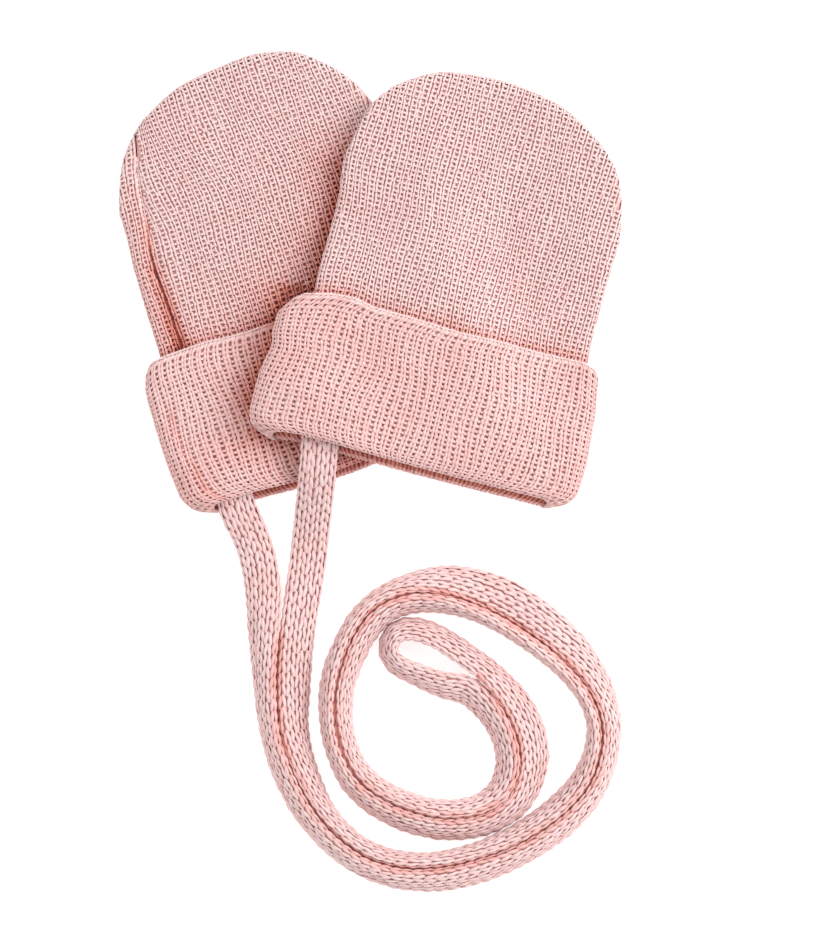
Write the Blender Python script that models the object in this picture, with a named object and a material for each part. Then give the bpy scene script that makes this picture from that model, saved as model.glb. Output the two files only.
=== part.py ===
"""A pair of ribbed baby mittens on one knitted cord, laid out flat on a table.

Each mitten is a flattened tube of one-by-one rib: a front and a back panel, seamed at the sides
and over the crown, and a doubled cuff turned up round the mouth. The right mitten lies half on
the left one and drapes down to the table beside it. The cord leaves one mouth, is laid doubled in
a loose coil, folds back at the coil's middle and runs into the other mouth.

Lengths are in millimetres and angles in degrees. The meshes are written in metres: the table is
z = 0, +Y points towards the crowns, and the middle of the mittens' footprint is at x = y = 0.
"""
import math
from collections import namedtuple

import bmesh
import bpy

MM = 0.001
FOOTPRINT_MIDDLE = (0.07, -0.33)        # of the two mittens, in the table coordinates used below

# --- cloth ---
CLOTH = 1.6             # wall of the rib knit
SEAM_GAP = 0.3          # between pieces that are sewn edge to edge
PLY_GAP = 0.6           # between layers that lie on each other
HAND_ROOM = 1.4         # between the front and the back of an empty mitten
RIBS = 40               # on each face of a mitten
RIB_HEIGHT = 0.4        # of a rib above the groove beside it
SHARP = 50.0            # angle beyond which an edge is shown sharp

HALF_BODY = HAND_ROOM / 2 + CLOTH               # from a mitten's mid-plane to its outer face
HALF_CUFF = HALF_BODY + PLY_GAP + CLOTH         # the same through the turned-up cuff
FOLD_TOP = 4.0          # height above the mouth to which the cuff's inner leg reaches
FOLD_BEND = 2.2         # height of the bend between its two legs, on the inside
DROP = 16.0             # length over which a body sinks from the cuff's middle to the table
PLAIN_COLUMNS = 24      # across the flat part of an underside or a lining face
EDGE_COLUMNS = 3        # round each of its edges
TUBE_WIDTH = 72.0       # of a flattened mitten, for sharing its columns out

# --- cord ---
CORD_WIDTH = 9.0
CORD_THICK = 3.5
CORD_SIDES = 10
TUCK = 9.0              # length of cord held inside each mouth
SWELL_FLAT = 5.5        # half-width over which a mouth's front stands clear of the cord
SWELL_FADE = 12.0       # distance over which that swelling dies out

Side = namedtuple("Side", "v left right")
Crown = namedtuple("Crown", "across top")
Mitten = namedtuple("Mitten", "name x y lean body crown cuff hem_low hem_rise hem_reach strip_ribs cord_u")
Lie = namedtuple("Lie", "x y outer_roll inner_roll")
Lead = namedtuple("Lead", "x y z roll")

# Heights v run from the mouth up the mitten's axis, widths are measured from that axis.
LEFT = Mitten(
    name="left", x=-4.8, y=-43.4, lean=-20.0,
    body=(Side(0.0, -36.5, 35.5), Side(4.0, -37.5, 37.0), Side(20.0, -37.2, 36.8),
          Side(38.0, -34.4, 34.4), Side(50.0, -33.9, 35.0), Side(61.0, -32.7, 36.0),
          Side(73.0, -31.5, 36.5), Side(100.0, -31.5, 36.5)),
    crown=(Crown(0.0, 73.0), Crown(0.03, 79.0), Crown(0.08, 85.5), Crown(0.2, 94.0), Crown(0.4, 99.0),
           Crown(0.6, 99.6), Crown(0.76, 97.0), Crown(0.88, 90.3), Crown(0.95, 83.5), Crown(1.0, 72.0)),
    cuff=(Side(0.0, -37.0, 35.5), Side(2.0, -39.3, 38.0), Side(6.0, -40.7, 39.6),
          Side(14.0, -41.1, 40.0), Side(26.0, -40.4, 39.4), Side(34.0, -39.2, 38.2),
          Side(37.6, -37.8, 37.4), Side(39.0, -36.6, 36.6)),
    hem_low=-1.8, hem_rise=3.0, hem_reach=24.0, strip_ribs=4, cord_u=-27.5)
RIGHT = Mitten(
    name="right", x=12.0, y=-45.4, lean=15.0,
    body=(Side(0.0, -38.5, 34.0), Side(4.0, -39.6, 35.9), Side(20.0, -38.2, 35.2),
          Side(35.0, -34.9, 32.4), Side(42.0, -35.3, 31.8), Side(56.0, -35.3, 31.5),
          Side(69.0, -36.6, 31.6), Side(100.0, -36.6, 31.6)),
    crown=(Crown(0.0, 68.0), Crown(0.04, 81.0), Crown(0.13, 88.5), Crown(0.28, 93.8), Crown(0.46, 95.0),
           Crown(0.65, 93.6), Crown(0.81, 88.4), Crown(0.92, 81.5), Crown(0.97, 74.0), Crown(1.0, 64.0)),
    cuff=(Side(0.0, -37.0, 34.5), Side(1.5, -40.3, 36.6), Side(5.0, -42.3, 38.2),
          Side(12.0, -43.1, 38.3), Side(24.0, -43.2, 37.4), Side(31.0, -42.2, 36.3),
          Side(34.0, -39.6, 35.9), Side(35.2, -37.6, 35.0)),
    hem_low=-0.3, hem_rise=0.6, hem_reach=30.0, strip_ribs=0, cord_u=-24.8)
HEM_STEP = 1.1          # the back of a mouth reaches this far below its middle, the front as far above
RIM_BOW = 1.2           # the middle of a cuff's top rim stands this much higher than its ends
BOW_FADE = 30.0         # length above the rim over which that bow dies out
HALF_WIDTH = 40.0       # of a cuff, about
CUFF_ROOT = (8.0, 2.0)  # distances below the cuff's rim between which a body's ribs rise

# Where the right mitten leaves the left one: distances across the left mitten from its axis.
SHELF_CUFF = (35.0, 57.0)       # over the cuff: still fully raised, down on the table
SHELF_BODY = (33.5, 66.0)       # the same over the body
SHELF_MOUTH = 26.0              # distance below the left mouth over which it comes down
SHELF_TOP = 2 * HALF_CUFF + RIB_HEIGHT + PLY_GAP        # its full height over the cuff

# The line between the cord's two strands, from where they meet to the middle of the coil, with
# the roll of the strand outside it and of the strand inside it: 0 lies flat, 90 stands on edge.
DOUBLED = (
    Lie(-21.6, -84.5, 38, 25), Lie(-22.4, -95.8, 58, 27), Lie(-21.6, -108.5, 68, 46),
    Lie(-17.8, -119.0, 63, 60), Lie(-12.5, -128.2, 64, 74), Lie(-5.0, -135.8, 65, 84),
    Lie(3.8, -140.2, 62, 82), Lie(14.6, -141.2, 54, 88), Lie(26.6, -138.7, 52, 84),
    Lie(37.4, -134.4, 60, 73), Lie(46.6, -128.2, 62, 68), Lie(53.5, -120.2, 69, 72),
    Lie(56.4, -109.7, 71, 82), Lie(54.7, -101.0, 62, 88), Lie(49.0, -93.1, 44, 88),
    Lie(40.2, -85.9, 18, 88), Lie(29.8, -79.4, 10, 86), Lie(18.9, -75.3, 40, 73),
    Lie(8.6, -74.9, 72, 66), Lie(0.5, -79.0, 86, 66), Lie(-5.0, -87.4, 81, 67),
    Lie(-8.2, -98.6, 75, 74), Lie(-7.4, -110.6, 80, 79), Lie(-2.6, -120.2, 70, 77),
    Lie(6.2, -126.0, 62, 76), Lie(17.0, -129.1, 60, 75), Lie(27.4, -128.2, 60, 70),
    Lie(34.6, -122.9, 53, 59), Lie(36.5, -113.8, 40, 57), Lie(33.4, -104.4, 42, 55),
    Lie(27.1, -96.2, 56, 42))
# Where the cord folds back on itself, from the end of the outer strand to that of the inner one.
FOLD = (Lead(20.8, -88.0, 0.0, 58), Lead(14.6, -84.4, 0.0, 60), Lead(9.4, -83.3, 0.0, 62),
        Lead(5.8, -84.8, 0.0, 66), Lead(4.4, -88.2, 0.0, 68), Lead(5.8, -91.6, 0.0, 66),
        Lead(9.6, -93.8, 0.0, 62), Lead(18.0, -97.2, 0.0, 48))
STRAND_GAP = 0.5        # between the two strands where they lie side by side

# From inside each mouth to where the strands meet. z is the height of the cord's underside,
# which lies on a mouth's sill, the inner face of its back.
LEFT_SILL = HALF_CUFF - HAND_ROOM / 2 + SEAM_GAP
RIGHT_SILL = SHELF_TOP + LEFT_SILL
RIM_RISE = 0.5          # by which the cord rides up where it bends down over a rim
LEFT_LEAD = (
    Lead(-34.2, -44.6, LEFT_SILL, 0), Lead(-31.4, -55.0, LEFT_SILL + RIM_RISE, 0),
    Lead(-28.9, -60.4, 1.4, 0), Lead(-26.8, -66.2, 0.0, 4), Lead(-25.6, -73.4, 0.0, 16))
RIGHT_LEAD = (
    Lead(-11.0, -32.6, RIGHT_SILL, 0), Lead(-11.8, -41.0, RIGHT_SILL, 0),
    Lead(-12.3, -47.0, 11.6 + RIM_RISE, 0), Lead(-13.1, -54.0, 5.9, 0), Lead(-14.0, -61.6, 1.5, 2),
    Lead(-15.0, -69.0, 0.0, 8), Lead(-16.1, -76.6, 0.0, 18))

PINK = (0.86, 0.56, 0.55, 1.0)
PINK_SHADE = (0.80, 0.50, 0.49, 1.0)


# Rows up a mitten. The cuff and the body under it share theirs, so that both drape alike.
CUFF_ROWS = (TUCK + 2, 18.0, 25.0)
BODY_ROWS = (FOLD_TOP + SEAM_GAP,) + CUFF_ROWS + (32.0, 39.0, 47.0, 55.0)
# The same as (height, None), then over the crown as (share of what is left, angle of rounding).
STEPS = [(v, None) for v in BODY_ROWS] + [(0.5, 0), (1.0, 0), (1.0, 50), (1.0, 90)]


# --- curves and placing ---
def clamp(value, low=0.0, high=1.0):
    return max(low, min(high, value))


def ease(start, end, value):
    """0 at start and 1 at end, level at both."""
    t = clamp((value - start) / (end - start))
    return t * t * (3 - 2 * t)


def read(table, key, column, value):
    """A column of a table, read between its rows on a curve that never overshoots them."""
    xs = [getattr(row, key) for row in table]
    ys = [getattr(row, column) for row in table]
    if value <= xs[0]:
        return ys[0]
    if value >= xs[-1]:
        return ys[-1]
    runs = [b - a for a, b in zip(xs, xs[1:])]
    slopes = [(b - a) / run for a, b, run in zip(ys, ys[1:], runs)]
    bends = [slopes[0]]
    for one, two in zip(slopes, slopes[1:]):
        bends.append(2 * one * two / (one + two) if one * two > 0 else 0.0)
    bends.append(slopes[-1])
    i = max(k for k, x in enumerate(xs[:-1]) if x <= value)
    t = (value - xs[i]) / runs[i]
    hermite = (2 * t**3 - 3 * t**2 + 1, t**3 - 2 * t**2 + t, 3 * t**2 - 2 * t**3, t**3 - t**2)
    return (hermite[0] * ys[i] + hermite[1] * runs[i] * bends[i]
            + hermite[2] * ys[i + 1] + hermite[3] * runs[i] * bends[i + 1])


def place(x, y, z):
    """A point in metres, counted from the middle of the footprint."""
    return (x - FOOTPRINT_MIDDLE[0]) * MM, (y - FOOTPRINT_MIDDLE[1]) * MM, z * MM


def on_table(mitten, u, v):
    """Table coordinates of a point across and up a mitten."""
    a = math.radians(mitten.lean)
    return (mitten.x + u * math.cos(a) + v * math.sin(a), mitten.y - u * math.sin(a) + v * math.cos(a))


def on_mitten(mitten, x, y):
    """Across and up a mitten, of a point on the table."""
    a = math.radians(mitten.lean)
    dx, dy = x - mitten.x, y - mitten.y
    return dx * math.cos(a) - dy * math.sin(a), dx * math.sin(a) + dy * math.cos(a)


def shelf(x, y):
    """Height to which the left mitten raises what lies on it."""
    u, v = on_mitten(LEFT, x, y)
    cuff_top = LEFT.cuff[-1].v
    on_body = ease(cuff_top, cuff_top + DROP, v)
    full = SHELF_CUFF[0] + (SHELF_BODY[0] - SHELF_CUFF[0]) * on_body
    none = SHELF_CUFF[1] + (SHELF_BODY[1] - SHELF_CUFF[1]) * on_body
    height = SHELF_TOP - 2 * (HALF_CUFF - HALF_BODY) * on_body
    return height * (1 - ease(full, none, u)) * ease(-SHELF_MOUTH, 0.0, v)


def sit(mitten, u, v, side, height):
    """World place of a point at a height above or below a mitten's mid-plane.

    side is +1 on the front, -1 on the back and 0 at a mitten's edges."""
    cuff_top = mitten.cuff[-1].v
    hem = mitten.hem_low + mitten.hem_rise * (1 - math.exp(-(u / mitten.hem_reach) ** 2))
    bow = RIM_BOW * (1 - (u / HALF_WIDTH) ** 2)
    bow *= ease(0.0, cuff_top, v) * (1 - ease(cuff_top, cuff_top + BOW_FADE, v))
    lift_v = v + hem * clamp(1 - v / cuff_top) + bow + HEM_STEP * side * (1 - ease(0.0, FOLD_TOP, v))
    middle = HALF_CUFF + (HALF_BODY - HALF_CUFF) * ease(cuff_top - 1, cuff_top + DROP, v)
    beside = abs(u - mitten.cord_u) - SWELL_FLAT
    swell = (CORD_THICK + 2 * SEAM_GAP - HAND_ROOM) * (1 - ease(0.0, SWELL_FADE, beside))
    swell *= clamp(side) * (1 - ease(TUCK + 1, TUCK + 1 + SWELL_FADE, v))
    x, y = on_table(mitten, u, lift_v)
    ground = shelf(x, y) if mitten is RIGHT else 0.0
    return place(x, y, ground + middle + swell + height)


# --- the flattened tube ---
def edge_share(half):
    """The share of p that the rounding at each edge of a flattened tube takes."""
    turn = math.pi * half / 2
    return turn / (TUBE_WIDTH - 2 * half + 2 * turn)


def across(left, right, half, depth, p):
    """A point of a flattened tube's section, depth inside its outer face.

    p runs from -1 at the right edge, along the underside to 0 at the left edge, and back over
    the upper side to 1. Gives u, the height, and the sine of the angle round an edge."""
    share = edge_share(half)
    radius = half - depth
    near, far = min(abs(p) / share, 1.0), min((1 - abs(p)) / share, 1.0)
    sine = math.sin(math.pi / 2 * min(near, far))
    if near < 1:
        u = left + half - radius * math.cos(math.pi / 2 * near)
    elif far < 1:
        u = right - half + radius * math.cos(math.pi / 2 * far)
    else:
        u = left + half + (right - left - 2 * half) * (abs(p) - share) / (1 - 2 * share)
    return u, math.copysign(radius * sine, p), math.copysign(sine, p)


def plain_stations(half, start=0.0):
    """Values of p from start to 1 for a face without ribs: close round the edges, even between."""
    share = edge_share(half)
    edge = [share * k / EDGE_COLUMNS for k in range(EDGE_COLUMNS)]
    flat = [share + (1 - 2 * share) * k / PLAIN_COLUMNS for k in range(PLAIN_COLUMNS + 1)]
    both = edge + flat + [1 - p for p in reversed(edge)]
    return [start] + [p for p in both if p > start + 0.01]


def rib(p):
    """Height of the ribs at p on the upper side: 0 in each groove, 1 along each rib."""
    return abs(math.sin(math.pi * RIBS * p)) if p > 0 else 0.0


def panel_point(mitten, p, step, depth, front):
    """A point of a body panel, on one of STEPS. front is 1 on the front panel, -1 on the back."""
    level, turn = step
    v, close = level, 1.0
    if turn is not None:
        wide = mitten.body[-1]
        u = across(wide.left, wide.right, HALF_BODY, depth, p)[0]
        top = read(mitten.crown, "across", "top", (u - wide.left) / (wide.right - wide.left))
        start, shoulder = BODY_ROWS[-1], top - HALF_BODY
        v = start + (shoulder - start) * level + (HALF_BODY - depth) * math.sin(math.radians(turn))
        close = math.cos(math.radians(turn))
    u, height, side = across(read(mitten.body, "v", "left", v), read(mitten.body, "v", "right", v),
                             HALF_BODY, depth, p)
    if depth == 0.0:
        rim = mitten.cuff[-1].v
        height += RIB_HEIGHT * rib(p) * side * ease(rim - CUFF_ROOT[0], rim - CUFF_ROOT[1], v)
    seam = front if mitten.strip_ribs == 0 or abs(p) > 0.5 else clamp(p * RIBS, -1.0, 1.0)
    height = height * close * (1 - SEAM_GAP / (2 * HALF_BODY)) + seam * SEAM_GAP / 2
    return sit(mitten, u, v, side, height)


# --- meshes ---
def grid(mesh, rows, closed=False):
    """Vertices for rows of points, and the triangles between them, all split the same way."""
    verts = [[mesh.verts.new(point) for point in row] for row in rows]
    for low, high in zip(verts, verts[1:]):
        if closed:
            low, high = low + low[:1], high + high[:1]
        for a, b, c, d in zip(low, low[1:], high[1:], high):
            mesh.faces.new((a, b, c))
            mesh.faces.new((a, c, d))
    return verts


def lace(mesh, one, two):
    """Triangles between two lines of vertices that may differ in number."""
    i = j = 0
    while i < len(one) - 1 or j < len(two) - 1:
        first = (i + 1) / (len(one) - 1) if i < len(one) - 1 else 2.0
        second = (j + 1) / (len(two) - 1) if j < len(two) - 1 else 2.0
        if first <= second:
            mesh.faces.new((one[i], one[i + 1], two[j]))
            i += 1
        else:
            mesh.faces.new((one[i], two[j + 1], two[j]))
            j += 1


def finish(name, mesh, colour):
    """A closed mesh made into a named object with its own material."""
    bmesh.ops.recalc_face_normals(mesh, faces=mesh.faces[:])
    data = bpy.data.meshes.new(name)
    mesh.to_mesh(data)
    mesh.free()
    data.shade_smooth()
    data.set_sharp_from_angle(angle=math.radians(SHARP))
    thing = bpy.data.objects.new(name, data)
    bpy.context.scene.collection.objects.link(thing)
    dye(thing, colour)


def dye(thing, colour):
    """The knit's own colour, matt, under the object's name."""
    material = bpy.data.materials.new(thing.name)
    material.use_nodes = True
    shader = material.node_tree.nodes["Principled BSDF"]
    shader.inputs["Base Color"].default_value = colour
    shader.inputs["Roughness"].default_value = 0.9
    shader.inputs["Metallic"].default_value = 0.0
    thing.data.materials.append(material)


def between(start, end, count):
    """Even values from start to end, both included."""
    return [start + (end - start) * k / count for k in range(count + 1)]


def body_panel(mitten, front):
    """The front or the back of a mitten: a wall with ribs on its upper outer face."""
    seam = mitten.strip_ribs / RIBS
    slit = SEAM_GAP / (2 * (mitten.body[-1].right - mitten.body[-1].left))
    under = [-p for p in reversed(plain_stations(HALF_BODY))]
    if front:
        start = seam + slit if seam else 0.0
        outer = [start] + between(seam, 1.0, 2 * (RIBS - mitten.strip_ribs))[1:]
        inner = plain_stations(HALF_BODY, start)
    elif seam:
        outer = under + between(0.0, seam, 2 * mitten.strip_ribs)[1:-1] + [seam - slit]
        inner = under + plain_stations(HALF_BODY)[1:EDGE_COLUMNS + 1] + [seam - slit]
    else:
        outer = inner = under
    rim = outer if front else between(-1.0, 0.0, 2 * RIBS) + outer[len(under):]
    facing = 1 if front else -1
    mesh = bmesh.new()
    skin = grid(mesh, [[panel_point(mitten, p, step, 0.0, facing) for p in outer] for step in STEPS[:-1]])
    seam_line = [mesh.verts.new(panel_point(mitten, p, STEPS[-1], 0.0, facing)) for p in rim]
    lining = grid(mesh, [[panel_point(mitten, p, step, CLOTH, facing) for p in inner] for step in STEPS])
    lace(mesh, skin[-1], seam_line)
    lace(mesh, skin[0], lining[0])
    lace(mesh, seam_line, lining[-1])
    for end in (0, -1):
        lace(mesh, [row[end] for row in skin] + [seam_line[end]], [row[end] for row in lining])
    finish(f"{mitten.name}_{'front' if front else 'back'}", mesh, PINK if front else PINK_SHADE)


def cuff(mitten):
    """The turned-up cuff: an outer leg with ribs, folded at the mouth into a short inner leg."""
    top = mitten.cuff[-1].v
    inner = CLOTH + PLY_GAP
    shared = CUFF_ROWS + (top - 4.0,)
    # Each row of points is (height above the mouth, depth inside the cuff's outer face).
    skin_rows = ([(0.8, 0.3), (2.6, 0.0)] + [(v, 0.0) for v in shared]
                 + [(top - 1.6, 0.0), (top - 0.4, 0.2)])
    lining_rows = ([(top, 0.6 * CLOTH), (top - 0.8, CLOTH)] + [(v, CLOTH) for v in reversed(shared)]
                   + [(FOLD_TOP + SEAM_GAP, CLOTH), (FOLD_BEND, CLOTH), (FOLD_BEND, inner),
                      (FOLD_TOP, inner), (FOLD_TOP, inner + CLOTH), (1.2, inner + CLOTH),
                      (0.0, inner + 0.6 * CLOTH), (0.0, 0.5 * CLOTH)])
    plain = plain_stations(HALF_CUFF)
    under = [-p for p in reversed(plain)]
    round_skin = under + between(0.0, 1.0, 2 * RIBS)[1:-1]
    round_lining = under + plain[1:-1]

    def ring(v, depth, stations):
        left, right = read(mitten.cuff, "v", "left", v), read(mitten.cuff, "v", "right", v)
        points = []
        for p in stations:
            u, height, side = across(left, right, HALF_CUFF, depth, p)
            raised = RIB_HEIGHT * rib(p) * side if depth == 0.0 else 0.0
            points.append(sit(mitten, u, v, side, height + raised))
        return points

    mesh = bmesh.new()
    skin = grid(mesh, [ring(v, depth, round_skin) for v, depth in skin_rows], closed=True)
    lining = grid(mesh, [ring(v, depth, round_lining) for v, depth in lining_rows], closed=True)
    half = len(under)
    for one, two in ((skin[-1], lining[0]), (skin[0], lining[-1])):
        lace(mesh, one[:half], two[:half])
        lace(mesh, one[half - 1:] + one[:1], two[half - 1:] + two[:1])
    finish(f"{mitten.name}_cuff", mesh, PINK)


# --- cord ---
def reach(roll):
    """Half the width and half the height of the cord's section at a roll."""
    a = math.radians(roll)
    wide, thick = CORD_WIDTH / 2, CORD_THICK / 2
    return (math.hypot(wide * math.cos(a), thick * math.sin(a)),
            math.hypot(wide * math.sin(a), thick * math.cos(a)))


def strands():
    """Stations (x, y, z, roll) of the outer and of the inner strand along the doubled line."""
    outer, inner = [], []
    for k, lie in enumerate(DOUBLED):
        before, after = DOUBLED[max(k - 1, 0)], DOUBLED[min(k + 1, len(DOUBLED) - 1)]
        dx, dy = after.x - before.x, after.y - before.y
        length = math.hypot(dx, dy)
        normal = (dy / length, -dx / length)
        for side, roll, out in ((1, lie.outer_roll, outer), (-1, lie.inner_roll, inner)):
            half_width, half_height = reach(roll)
            shift = side * (half_width + STRAND_GAP / 2)
            out.append((lie.x + normal[0] * shift, lie.y + normal[1] * shift, half_height, roll))
    return outer, inner


def centres(leads):
    """Stations (x, y, z, roll) of the cord's middle, from those of its underside."""
    return [(lead.x, lead.y, lead.z + reach(lead.roll)[1], lead.roll) for lead in leads]


def cord_route():
    """The cord's stations from the left mouth, round the coil and back to the right mouth.

    They are read from a smooth curve (a cubic B-spline) that the route's own points guide, and
    one that lies on the table is lifted so that it still does with the roll it gets there."""
    outer, inner = strands()
    guide = centres(LEFT_LEAD) + outer + centres(FOLD) + inner[::-1] + centres(RIGHT_LEAD[::-1])
    route = guide[:1]
    for before, here, after in zip(guide, guide[1:], guide[2:]):
        x, y, z, roll = ((a + 4 * b + c) / 6 for a, b, c in zip(before, here, after))
        route.append((x, y, max(z, reach(roll)[1]), roll))
    return route + guide[-1:]


def cord():
    """The flat cord as a closed tube whose section rolls as the cord turns on edge."""
    route = cord_route()
    rings = []
    for k, (x, y, z, roll) in enumerate(route):
        before, after = route[max(k - 1, 0)], route[min(k + 1, len(route) - 1)]
        ahead = [after[axis] - before[axis] for axis in range(3)]
        length = math.hypot(*ahead)
        ahead = [part / length for part in ahead]
        level = math.hypot(ahead[0], ahead[1])
        beside = (ahead[1] / level, -ahead[0] / level, 0.0)
        above = (-ahead[2] * ahead[0] / level, -ahead[2] * ahead[1] / level, level)
        tilt = math.radians(roll)
        ring = []
        for s in range(CORD_SIDES):
            a = 2 * math.pi * s / CORD_SIDES
            wide, thick = CORD_WIDTH / 2 * math.cos(a), CORD_THICK / 2 * math.sin(a)
            out = wide * math.cos(tilt) + thick * math.sin(tilt)
            up = thick * math.cos(tilt) - wide * math.sin(tilt)
            ring.append(place(*(c + out * b + up * n for c, b, n in zip((x, y, z), beside, above))))
        rings.append(ring)
    mesh = bmesh.new()
    loops = grid(mesh, rings, closed=True)
    mesh.faces.new(loops[0])
    mesh.faces.new(loops[-1])
    finish("cord", mesh, PINK)


def main():
    """The two mittens, each of a front, a back and a cuff, and the cord between them."""
    for thing in list(bpy.data.objects):
        bpy.data.objects.remove(thing, do_unlink=True)
    for mitten in (LEFT, RIGHT):
        body_panel(mitten, front=True)
        body_panel(mitten, front=False)
        cuff(mitten)
    cord()


main()
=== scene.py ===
"""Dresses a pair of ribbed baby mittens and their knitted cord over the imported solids.

Each panel is a thin cloth wall on its solid's form. The knit lies on it leg by leg: every stitch
is two grains of yarn, modelled once and laid in wales and courses that follow the cloth. Lengths
are in millimetres and angles in degrees until a point is placed, which makes it metres.
"""
import logging
import math
from dataclasses import dataclass
from enum import Enum
from typing import Callable, NamedTuple

import bpy
import numpy as np
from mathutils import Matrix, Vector


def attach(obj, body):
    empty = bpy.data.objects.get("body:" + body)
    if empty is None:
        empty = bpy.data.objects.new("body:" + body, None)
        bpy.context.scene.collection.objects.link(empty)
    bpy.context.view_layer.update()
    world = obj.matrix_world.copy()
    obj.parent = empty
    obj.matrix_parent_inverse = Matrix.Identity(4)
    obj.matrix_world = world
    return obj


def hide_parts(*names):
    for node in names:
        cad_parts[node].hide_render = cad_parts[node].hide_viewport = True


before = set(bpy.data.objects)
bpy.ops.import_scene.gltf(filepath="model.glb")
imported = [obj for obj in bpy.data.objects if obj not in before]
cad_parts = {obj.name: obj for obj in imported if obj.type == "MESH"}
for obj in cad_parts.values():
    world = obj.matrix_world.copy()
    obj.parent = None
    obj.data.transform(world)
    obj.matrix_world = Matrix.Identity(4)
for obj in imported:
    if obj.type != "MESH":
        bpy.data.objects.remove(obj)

Array = np.ndarray
Tree, Node, Socket = bpy.types.NodeTree, bpy.types.Node, bpy.types.NodeSocket
Object = bpy.types.Object
Skin = Callable[[Array, Array, Array], Array]

MM = 0.001
GROUND_DEPTH = 0.28     # painted shade of the cloth between the stitches, given as a depth in the knit
INSIDE_DEPTH = 0.4      # the same painted shade for a wall's inner face
EVEN_TONE = 0.5         # of all that isn't a stitch
FOOTPRINT_MIDDLE = (0.07, -0.33)        # of the two mittens, in the table coordinates used below
LOWEST = 0.02           # height over the table that nothing goes below

# --- cloth, as in the solids ---
CLOTH = 1.6             # wall of the rib knit
SEAM_GAP = 0.3          # between pieces that are sewn edge to edge
PLY_GAP = 0.6           # between layers that lie on each other
HAND_ROOM = 1.4         # between the front and the back of an empty mitten
RIBS = 40               # on each face of a mitten
EDGE_RIBS = 3           # of the underside that show round a mitten's edges
RIB_HEIGHT = 0.4        # of a rib above the groove beside it
HALF_BODY = HAND_ROOM / 2 + CLOTH
HALF_CUFF = HALF_BODY + PLY_GAP + CLOTH
FOLD_TOP = 4.0          # height above the mouth to which the cuff's inner leg reaches
DROP = 16.0             # length over which a body sinks from the cuff's middle to the table
TUBE_WIDTH = 72.0       # of a flattened mitten, for sharing its columns out
CORD_WIDTH = 9.0
CORD_THICK = 3.5
TUCK = 9.0              # length of cord held inside each mouth
SWELL_FLAT = 5.5        # half-width over which a mouth's front stands clear of the cord
SWELL_FADE = 12.0       # distance over which that swelling dies out
HEM_STEP = 1.1          # by which a mouth's back reaches below its middle, and its front above
CORNER_U = -40.0        # where a mouth's left end hangs lowest
CORNER_REACH = 7.0
BOW_START = 0.45        # share of a cuff's height at which the rim's own bends start
BOW_FADE = 20.0         # length above a cuff's rim over which the rim's own bends die out
HEM_RADIUS = CLOTH + PLY_GAP / 2        # of the fold at the mouth

SHELF_CUFF = (35.0, 57.0)       # across the left mitten: where the right one is raised, where down
SHELF_BODY = (33.5, 66.0)       # the same over the body
SHELF_MOUTH = 26.0              # distance below the left mouth over which it comes down
SHELF_TOP = 2 * HALF_CUFF + RIB_HEIGHT + PLY_GAP


class Side(NamedTuple):
    """Where a mitten's two edges are at a height above its mouth."""

    v: float
    left: float
    right: float


class Crown(NamedTuple):
    """The height of the crown at a share of the way across."""

    across: float
    top: float


class Shift(NamedTuple):
    """How far something is moved at a place."""

    at: float
    by: float


class Crease(NamedTuple):
    """A soft ridge or trough: its middle, its turn from the mitten's axis and its size."""

    u: float
    v: float
    turn: float
    length: float
    width: float
    rise: float


class Lie(NamedTuple):
    """A station of the line between the cord's two strands, with the roll of each."""

    x: float
    y: float
    outer_roll: float
    inner_roll: float


class Lead(NamedTuple):
    """A station of a single strand: z is the height of its underside."""

    x: float
    y: float
    z: float
    roll: float


class PaintedShade(NamedTuple):
    """Painted shade at a place, redder and darker, which fades over a distance."""

    amount: float
    reach: float


class Face(Enum):
    """The two sides of a mitten."""

    FRONT = "front"
    BACK = "back"


def listed(kind: Callable, *values: tuple) -> tuple:
    """A table's rows, made of one kind from plain tuples."""
    return tuple(kind(*value) for value in values)


# --- curves and placing ---
def ease(start: float | Array, end: float | Array, value: Array) -> Array:
    """0 at start and 1 at end, level at both.

    Args:
        start: where the rise begins.
        end: where it is complete.
        value: the places to read it at.

    Returns:
        The share of the rise at each place.
    """
    t = np.clip((value - start) / (end - start), 0.0, 1.0)
    return t * t * (3 - 2 * t)


def fade(start: float | Array, end: float | Array, value: Array) -> Array:
    """1 at start and 0 at end, level at both."""
    return 1 - ease(start, end, value)


def painted_shade(painted_shades: tuple[PaintedShade, ...], away: Array) -> Array:
    """The painted shade that all the parts give at each distance."""
    return sum(part.amount * np.exp(-away / part.reach) for part in painted_shades)


def run_length(points: Array) -> Array:
    """Length along a line of points, from 0 at the first."""
    return np.concatenate([[0.0], np.cumsum(np.linalg.norm(np.diff(points, axis=0), axis=1))])


def columns_at(at: Array, along: Array, table: Array) -> Array:
    """Every column of a table, read along it at some places; the columns are the last axis."""
    return np.stack([np.interp(at, along, column) for column in table.T], -1)


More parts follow.
